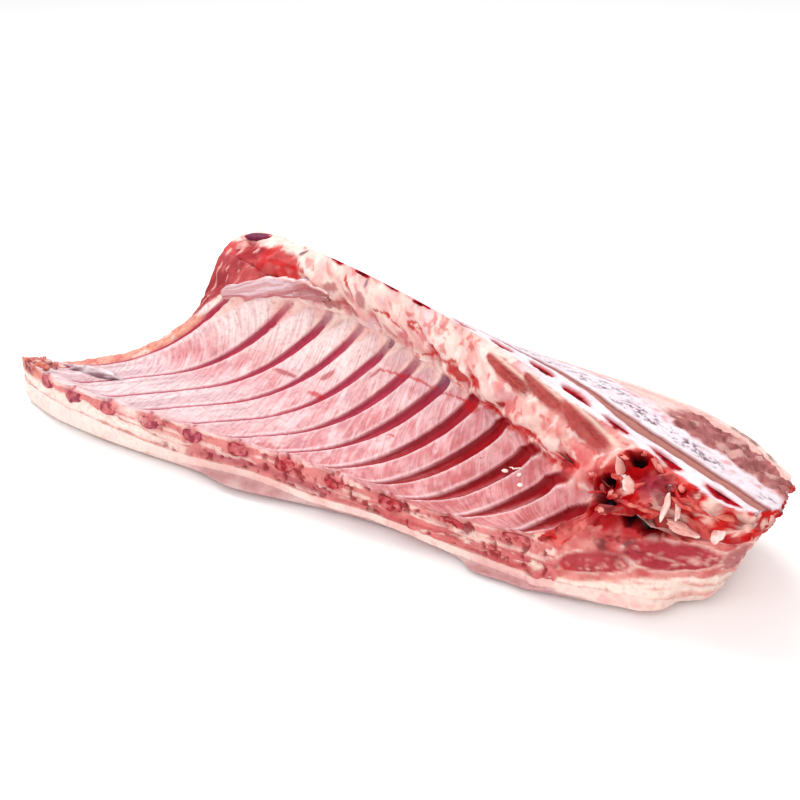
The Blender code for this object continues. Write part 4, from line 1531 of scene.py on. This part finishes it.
def make_membrane(material):
    """The folded strip of thin skin that hangs under the loin muscle, with painted shade in its folds and
    painted highlights on its creases.
    """
    surface = Surface()
    stations = np.linspace(0.92, 3.15, int(170 * FINE))
    across = np.linspace(-1.0, 1.0, int(44 * FINE))
    rows = []
    for side in (0, 1):
        for k in stations:
            middle = np.interp(k, (0.92, 1.48, 2.48, 3.15), (-0.02, -0.17, -0.31, -0.33))
            half = 0.170 * math.sqrt(math.sin(math.pi * min((k - 0.85) / 2.4, 0.985)))
            ragged = 0.030 * flat_noise(k * 6.0, np.sign(across), 144) * np.abs(across) ** 2
            way = middle + half * across + 0.012 * flat_noise(k * 9.0, across, 141) + ragged
            folds, creases = membrane_folds(k, across)
            lift = 0.0018 + 0.0014 * folds + 0.0004 * creases + 0.0007 * bump(across, -0.75, 0.25)
            lift = lift * np.sqrt(np.clip(1.0 - across ** 6, 0.0, 1.0)) - 0.0009 * side
            station = station_at(round(float(k), 3))
            y, z = station.wall(way, -lift).T
            rows.append(surface.add(plan_x(station.k, y, z), y, z, k, across, CAVITY))
    last, size = len(stations), len(across)
    for layer, flip in ((0, 1), (last, -1)):
        for near, far in zip(rows[layer:layer + last], rows[layer + 1:layer + last]):
            surface.faces.extend(face[::flip] for face in quads_between(near, far, size)[:-1])
    for top, under, far, deep in zip(rows[:last], rows[last:], rows[1:last], rows[last + 1:]):
        surface.faces.append((top, far, deep, under))
        surface.faces.append(tuple(start + size - 1 for start in (under, deep, far, top)))
    for top, under, flip in ((rows[0], rows[last], 1), (rows[last - 1], rows[-1], -1)):
        for i in range(size - 1):
            surface.faces.append((top + i, under + i, under + i + 1, top + i + 1)[::flip])
    surface.close()
    k, share = surface.k, surface.share
    folds, creases = membrane_folds(k, share)
    paint = Paint(surface, shade(228, 184, 186))
    paint.layers(1.0, (
        # Painted shade in the hollows of the folds, then painted highlights on the crests of the creases
        ((202, 134, 140), smooth(0.2 - 1.6 * folds) * 0.8),
        ((240, 222, 230), rise(creases, 0.05, 0.3) * 0.8),
        ((190, 104, 104), rise(k + 0.3 * surface.lumps, 1.9, 0.4) * 0.75),
        ((206, 112, 118), bump(share, 0.88, 0.10) * 0.8),
        ((244, 214, 208), bump(share, -0.86, 0.10) * 0.6),
    ))
    surface.fibre = np.full(len(k), 0.35)
    flow = np.stack((share * 0.012, k * RIB_PITCH, 0.0 * k), axis=-1)
    make_piece("membrane_strip", surface, paint.tint, material, [], flow)


# ---------------------------------------------------------------- small things

def ball(steps):
    """Directions spread evenly over a ball, with the triangles between them."""
    mesh = bpy.data.meshes.new("ball")
    shape = bmesh.new()
    bmesh.ops.create_icosphere(shape, subdivisions=steps, radius=1.0)
    shape.to_mesh(mesh)
    shape.free()
    points = np.array([vertex.co for vertex in mesh.vertices])
    faces = [tuple(face.vertices) for face in mesh.polygons]
    bpy.data.meshes.remove(mesh)
    return points, faces


def turn_to(points, direction):
    """Points whose X axis is turned to a direction."""
    rotation = Vector(direction).to_track_quat("X", "Z").to_matrix()
    return points @ np.array(rotation).T


def draws(number, seed):
    """Six fixed random numbers from 0 to 1 for the shape with a number."""
    return [float(lattice(number, index, 0, seed)) for index in range(6)]


class Heap:
    """Small closed shapes of one kind, joined in one piece."""

    def __init__(self):
        self.points, self.faces, self.tint = [], [], []
        self.count = 0

    def add(self, points, faces, colour, dark, seed):
        """Add one shape with mottled colour."""
        spots = smooth(0.5 + 0.9 * cloud(points, 0.004, seed))[:, None]
        self.tint.append(mix(colour, dark, spots))
        self.faces.extend(tuple(corner + self.count for corner in face) for face in faces)
        self.points.append(points)
        self.count += len(points)

    def lump(self, place, size, direction, colour, dark, seed, rough=0.22):
        """A knobbly lump, long in a direction; place and size in mm."""
        points, faces = ball(3)
        lumpy = 1.0 + rough * cloud(points, 1.1, seed)
        points = turn_to(points * lumpy[:, None] * np.asarray(size) * MM, direction)
        self.add(points + np.asarray(place) * MM, faces, colour, dark, seed)

    def lumps(self, rows, colour, dark, rough=0.22):
        """Several lumps of the same colours; a row is a place, a size, a direction and a seed."""
        for place, size, direction, seed in rows:
            self.lump(place, size, direction, colour, dark, seed, rough)

    def strand(self, corners, width, thick, colour, dark, seed):
        """A flattened, tapering strand through corners, all in mm."""
        steps, sides = 26, 10
        ways = np.linspace(0.0, 1.0, steps)
        path = soften(along_line(ways, np.linspace(0.0, 1.0, len(corners)), corners), 6)
        still = np.zeros_like(ways)
        path += 0.35 * np.stack([flat_noise(ways * 5.0, still, seed + i) for i in range(3)], axis=-1)
        ahead = np.gradient(path, axis=0)
        ahead /= np.linalg.norm(ahead, axis=1, keepdims=True)
        aside = np.cross(ahead, (0.0, 0.0, 1.0))
        aside /= np.maximum(np.linalg.norm(aside, axis=1, keepdims=True), 1e-6)
        above = np.cross(aside, ahead)
        taper = np.sqrt(np.clip(np.sin(np.pi * np.clip(ways, 0.02, 0.98)), 0.05, 1.0))
        taper *= 1.0 + 0.25 * flat_noise(ways * 6.0, still, seed + 5)
        rows = []
        for i in range(sides):
            angle = 2.0 * math.pi * i / sides
            offset = aside * math.cos(angle) * width * 0.5 + above * math.sin(angle) * thick * 0.5
            rows.append(path + offset * taper[:, None])
        points = np.concatenate((np.stack(rows, axis=1).reshape(-1, 3), path[[0, -1]])) * MM
        tail, ends = (steps - 1) * sides, steps * sides
        faces = []
        for near in range(0, tail, sides):
            faces.extend(quads_between(near, near + sides, sides))
        for i in range(sides):
            j = (i + 1) % sides
            faces.extend(((j, i, ends), (tail + i, tail + j, ends + 1)))
        self.add(points, faces, colour, dark, seed)

    def finish(self, name, material, nodes=()):
        """Make the piece."""
        surface = Surface()
        surface.points, surface.faces = np.concatenate(self.points), self.faces
        surface.triangles = triangles_of(self.faces)
        surface.fibre = np.full(self.count, 0.15)
        tint = np.concatenate(self.tint)
        make_piece(name, surface, tint, material, nodes, surface.points)


def scatter(surface, gap, seed):
    """Places on the torn neck at least a gap (m) apart, with the way out of the meat there."""
    numbers = np.flatnonzero(surface.torn > 0.6)
    order = numbers[np.argsort(lattice(numbers, 0 * numbers, 0 * numbers, seed))]
    every = np.ones(len(surface.triangles), dtype=bool)
    outward = normals_of(surface.points, surface.triangles, every)
    kept = []
    for number in order:
        place = surface.points[number]
        if all(np.linalg.norm(place - surface.points[other]) > gap for other in kept):
            kept.append(number)
    return [(surface.points[number] / MM, outward[number]) for number in kept]


def make_fat_lumps(material):
    """Lumps of fat round the torn neck."""
    heap = Heap()
    heap.lumps((
        ((141.2, 22.6, 60.4), (4.6, 3.2, 1.8), (0.3, 0.2, -1.0), 201),
        ((148.6, 20.9, 57.0), (4.8, 3.4, 1.8), (0.6, 0.1, -0.8), 203),
        ((145.0, 21.6, 58.2), (3.4, 2.6, 1.6), (0.5, 0.1, -1.0), 202),
        ((165.4, 25.4, 54.4), (5.6, 1.5, 1.3), (0.15, 0.1, 1.0), 205),
        ((170.2, 27.6, 53.0), (4.4, 1.2, 1.1), (-0.3, 0.2, 1.0), 206),
        ((171.0, 28.2, 45.6), (6.5, 2.4, 1.8), (1.0, 0.5, -0.3), 208),
        ((185.2, 36.2, 46.8), (3.6, 2.2, 2.2), (0.2, 0.2, 1.0), 209),
    ), shade(252, 230, 222), shade(236, 176, 166), 0.60)
    heap.finish("fat_lumps", material)


def make_shreds(material, lean, backbone):
    """Shreds and strands of meat on the torn neck."""
    heap = Heap()
    places = scatter(lean, SHRED_GAP, 301) + scatter(backbone, SHRED_GAP, 302)
    for number, (place, outward) in enumerate(places):
        draw = draws(number, 303)
        if draw[5] < SHRED_SHARE:
            sideways = np.cross(outward, (draw[0] - 0.5, draw[1] - 0.5, 0.8))
            size = (2.2 + 4.4 * draw[2] ** 2, 0.9 + 1.1 * draw[3], 0.7 + 0.5 * draw[4])
            light = mix(shade(214, 60, 56), shade(240, 172, 160), draw[0])
            sunk = place - 0.75 * outward
            heap.lump(sunk, size, sideways, light, shade(184, 16, 22), 310 + number, 0.60)
    for corners, width, thick, seed in (
        (((172.0, 30.0, 60.0), (178.0, 31.0, 57.0), (186.0, 36.0, 53.0)), 4.0, 2.4, 221),
        (((166.0, 27.0, 58.0), (173.0, 28.5, 56.0), (181.0, 33.0, 55.0)), 3.6, 2.2, 222),
        (((180.0, 33.0, 57.5), (186.0, 37.0, 55.0), (193.0, 42.5, 54.0)), 4.2, 2.6, 223),
        (((150.0, 17.0, 52.0), (157.0, 21.0, 50.0), (166.0, 27.0, 49.0)), 3.6, 2.2, 224),
    ):
        heap.strand(corners, width, thick, shade(228, 140, 122), shade(204, 78, 76), seed)
    heap.finish("meat_shreds", material)


def make_clots(material):
    """Wet clots of blood on the torn neck."""
    heap = Heap()
    heap.lumps((
        ((150.5, 17.8, 51.0), (3.6, 2.0, 1.4), (1.0, 0.4, -0.3), 241),
        ((157.0, 22.0, 52.0), (3.0, 1.8, 1.4), (1.0, 0.3, 0.2), 242),
        ((164.5, 29.0, 60.5), (2.8, 1.8, 1.6), (1.0, 0.4, 0.0), 243),
        ((168.5, 29.5, 58.5), (2.6, 1.5, 1.3), (0.6, 0.2, -0.8), 244),
        ((138.0, 16.0, 53.0), (2.6, 1.5, 1.2), (0.6, 0.2, -0.8), 246),
    ), BLOOD, BLOOD_DARK)
    heap.finish("blood_clots", material)


def make_crumbs(material):
    """Crumbs of fat and bone on the wall of the chest, with one white thread."""
    heap = Heap()
    for place, size, direction, colour, seed in (
        ((82.1, 8.4, 39.0), (1.8, 1.2, 0.9), (1.0, 0.2, 0.2), WHITE_FAT, 261),
        ((91.0, 9.8, 40.4), (1.4, 1.1, 0.8), (0.2, 1.0, 0.1), WHITE_FAT, 262),
        ((94.9, 6.8, 37.8), (1.6, 1.2, 0.9), (1.0, 0.0, 0.1), WHITE_FAT, 263),
        ((65.1, 7.8, 38.2), (0.9, 0.7, 0.6), (1.0, 0.0, 0.0), MARROW, 264),
        ((-146.7, -13.8, 41.0), (0.8, 0.5, 0.4), (1.0, 0.0, 0.0), shade(110, 90, 80), 265),
    ):
        heap.lump(place, size, direction, colour, colour * 0.9, seed)
    thread = ((83.5, 9.4, 41.0), (86.7, 10.4, 41.8), (90.0, 11.6, 42.6))
    heap.strand(thread, 0.9, 0.7, WHITE_FAT, CREAM, 266)
    heap.finish("crumbs", material)


def make_loin_corner(fat, bone):
    """The end of a spine bone in the top corner of the loin, with the fat round it."""
    corner = Heap()
    for place, size, direction, light, dark, seed, rough in (
        ((-164.0, 24.6, 75.2), (9.5, 5.6, 5.4), (0.60, 0.80, 0.10),
         CREAM_PINK, shade(214, 104, 100), 291, 0.25),
        ((-158.0, 29.5, 77.4), (6.0, 3.6, 3.4), (0.60, 0.80, -0.05),
         CREAM, shade(226, 140, 130), 292, 0.25),
        ((-168.5, 16.5, 72.6), (5.0, 5.0, 6.5), (0.20, 0.30, 1.0),
         shade(206, 96, 96), CREAM_PINK, 293, 0.30),
    ):
        corner.lump(place, size, direction, light, dark, seed, rough)
    corner.finish("loin_corner_fat", fat)
    tip = Heap()
    light, dark = shade(158, 52, 74), shade(118, 44, 78)
    tip.lump((-164.9, 23.6, 79.0), (8.6, 4.2, 2.2), (0.60, 0.80, -0.06), light, dark, 294)
    tip.finish("loin_bone_tip", bone)


def make_breast_tip(fat, skin):
    """Ragged meat and a fold of skin, with a painted highlight on its top, where the loin cut meets the
    breast cut.
    """
    rags = Heap()
    for number, (place, size) in enumerate((
        ((-188.0, -109.5, 25.6), (4.6, 2.4, 1.7)), ((-184.0, -109.0, 25.6), (4.0, 2.6, 1.9)),
        ((-179.5, -109.5, 25.4), (4.2, 2.4, 1.8)), ((-174.5, -108.5, 25.2), (3.6, 2.0, 1.4)),
        ((-186.0, -104.0, 23.6), (4.0, 3.0, 1.6)), ((-181.0, -102.5, 22.8), (4.6, 2.6, 1.4)),
        ((-190.5, -104.0, 24.2), (3.0, 2.4, 1.6)),
    )):
        light = CREAM_PINK if number % 3 == 1 else shade(208, 118, 102)
        turned = (1.0, 0.5 * (-1) ** number, 0.0)
        rags.lump(place, size, turned, light, shade(158, 66, 62), 330 + number, 0.60)
    rags.finish("breast_tip_meat", fat)
    fold = Heap()
    dusky, pale = shade(138, 96, 108), shade(226, 206, 212)
    fold.lumps((
        ((-164.5, -83.5, 20.6), (12.0, 3.6, 2.4), (0.89, 0.45, 0.0), 350),
        ((-174.0, -89.0, 20.6), (7.0, 2.6, 1.9), (0.80, 0.60, 0.0), 351),
    ), pale, dusky, 0.45)
    # A pale strand along the top of the fold, its colour a painted highlight
    ridge = (
        (-190.0, -98.0, 21.8), (-181.0, -91.5, 21.2), (-172.0, -87.0, 21.4), (-160.0, -80.5, 21.2),
    )
    fold.strand(ridge, 2.2, 1.2, shade(240, 226, 230), shade(176, 130, 144), 352)
    fold.finish("breast_tip_skin", skin)


def make_stub(material):
    """The sawn stub of rib 13 in the neck cut, with the spongy grains of its section."""
    heap = Heap()
    middle, along, outward = (
        np.array(values) for values in ((146.9, 17.2, 30.2), (0.74, 0.67, 0.0), (0.67, -0.74, 0.0))
    )
    base = middle - 2.0 * outward
    heap.lump(base, (5.4, 3.0, 3.6), along, shade(128, 22, 46), MARROW_DARK, 281, 0.35)
    for number in range(STUB_GRAINS):
        draw = draws(number, 282)
        turn, reach = 2.0 * math.pi * draw[0], math.sqrt(draw[1])
        upwards = np.array((0.0, 0.0, 3.6 * reach * math.sin(turn)))
        place = middle + along * 6.2 * reach * math.cos(turn) + upwards - 0.2 * outward
        size = (0.9 + 0.9 * draw[2], 0.7 + 0.6 * draw[3], 0.6 + 0.5 * draw[4])
        light = mix(shade(96, 10, 34), shade(184, 60, 74), draw[5] ** 1.5)
        direction = along + outward * (draw[3] - 0.5)
        heap.lump(place, size, direction, light, MARROW_DARK, 400 + number, 0.4)
    heap.finish("rib_bone_13", material, ["rib_13"])


# ---------------------------------------------------------------- stage

def make_camera():
    """The camera at the height and side from which the piece is seen."""
    azimuth, elevation = math.radians(CAMERA_AZIMUTH), math.radians(CAMERA_ELEVATION)
    away = Vector((
        math.sin(azimuth) * math.cos(elevation),
        -math.cos(azimuth) * math.cos(elevation),
        math.sin(elevation),
    ))
    data = bpy.data.cameras.new("camera")
    data.lens = CAMERA_LENS
    data.clip_start = 0.01
    camera = add_object("camera", data)
    camera.location = CAMERA_TARGET + away * CAMERA_DISTANCE
    camera.rotation_euler = away.to_track_quat("Z", "Y").to_euler()
    bpy.context.scene.camera = camera


def make_light(name, place, size, power, colour):
    """A soft square lamp that points at the middle of the piece."""
    data = bpy.data.lights.new(name, "AREA")
    data.size = size
    data.energy = power
    data.color = colour
    lamp = add_object(name, data)
    lamp.location = place
    away = Vector(place) - Vector((0.0, 0.0, AIM_HEIGHT))
    lamp.rotation_euler = away.to_track_quat("Z", "Y").to_euler()


def make_floor():
    """A plain pale floor."""
    mesh = bpy.data.meshes.new("floor")
    corners = [(x * FLOOR_HALF, y * FLOOR_HALF, 0.0) for x, y in ((-1, -1), (1, -1), (1, 1), (-1, 1))]
    mesh.from_pydata(corners, [], [(0, 1, 2, 3)])
    material = bpy.data.materials.new("floor")
    material.use_nodes = True
    shader = material.node_tree.nodes["Principled BSDF"]
    shader.inputs["Base Color"].default_value = (0.97, 0.97, 0.97, 1.0)
    shader.inputs["Roughness"].default_value = 0.7
    mesh.materials.append(material)
    floor = add_object("floor", mesh)
    floor.location.z = -FLOOR_GAP


def make_world():
    """Even white light from all round."""
    world = bpy.data.worlds.new("studio")
    world.use_nodes = True
    background = world.node_tree.nodes["Background"]
    background.inputs["Color"].default_value = (1.0, 1.0, 1.0, 1.0)
    background.inputs["Strength"].default_value = 0.9
    bpy.context.scene.world = world
    bpy.context.scene.view_settings.view_transform = "Standard"


def build():
    """Make every piece, the camera, the lights, the floor and the world."""
    meat = make_flesh("moist_meat", 0.38, 0.08, 0.42, 0.45, 0.08, 0.10)
    fat = make_flesh("soft_fat", 0.42, 0.15, 0.15, 0.30)
    bone = make_flesh("wet_bone", 0.42, 0.04, 0.25, 0.40, 0.05, 0.06)
    sawn = make_flesh("sawn_bone", 0.60, 0.0, 0.12, 0.25, 0.03, 0.02)
    skin = make_flesh("thin_skin", 0.28, 0.45, 0.45, 0.25)
    blood = make_flesh("fresh_blood", 0.20, 0.60, 0.05, 0.20, 0.05)
    lean = make_lean(meat)
    for rib in range(1, RIBS + 1):
        make_rib(rib, bone)
    make_stub(bone)
    make_loin_corner(fat, bone)
    make_breast_tip(fat, skin)
    make_fat(fat)
    backbone = make_backbone(sawn)
    make_membrane(skin)
    make_fat_lumps(fat)
    make_shreds(meat, lean, backbone)
    make_clots(blood)
    make_crumbs(fat)
    make_camera()
    make_light("key", (-0.55, 0.10, 0.95), 0.7, 9.0, (1.0, 0.99, 0.98))
    make_light("fill", (0.70, -0.80, 0.75), 1.2, 7.0, (1.0, 1.0, 1.0))
    make_floor()
    make_world()


build()
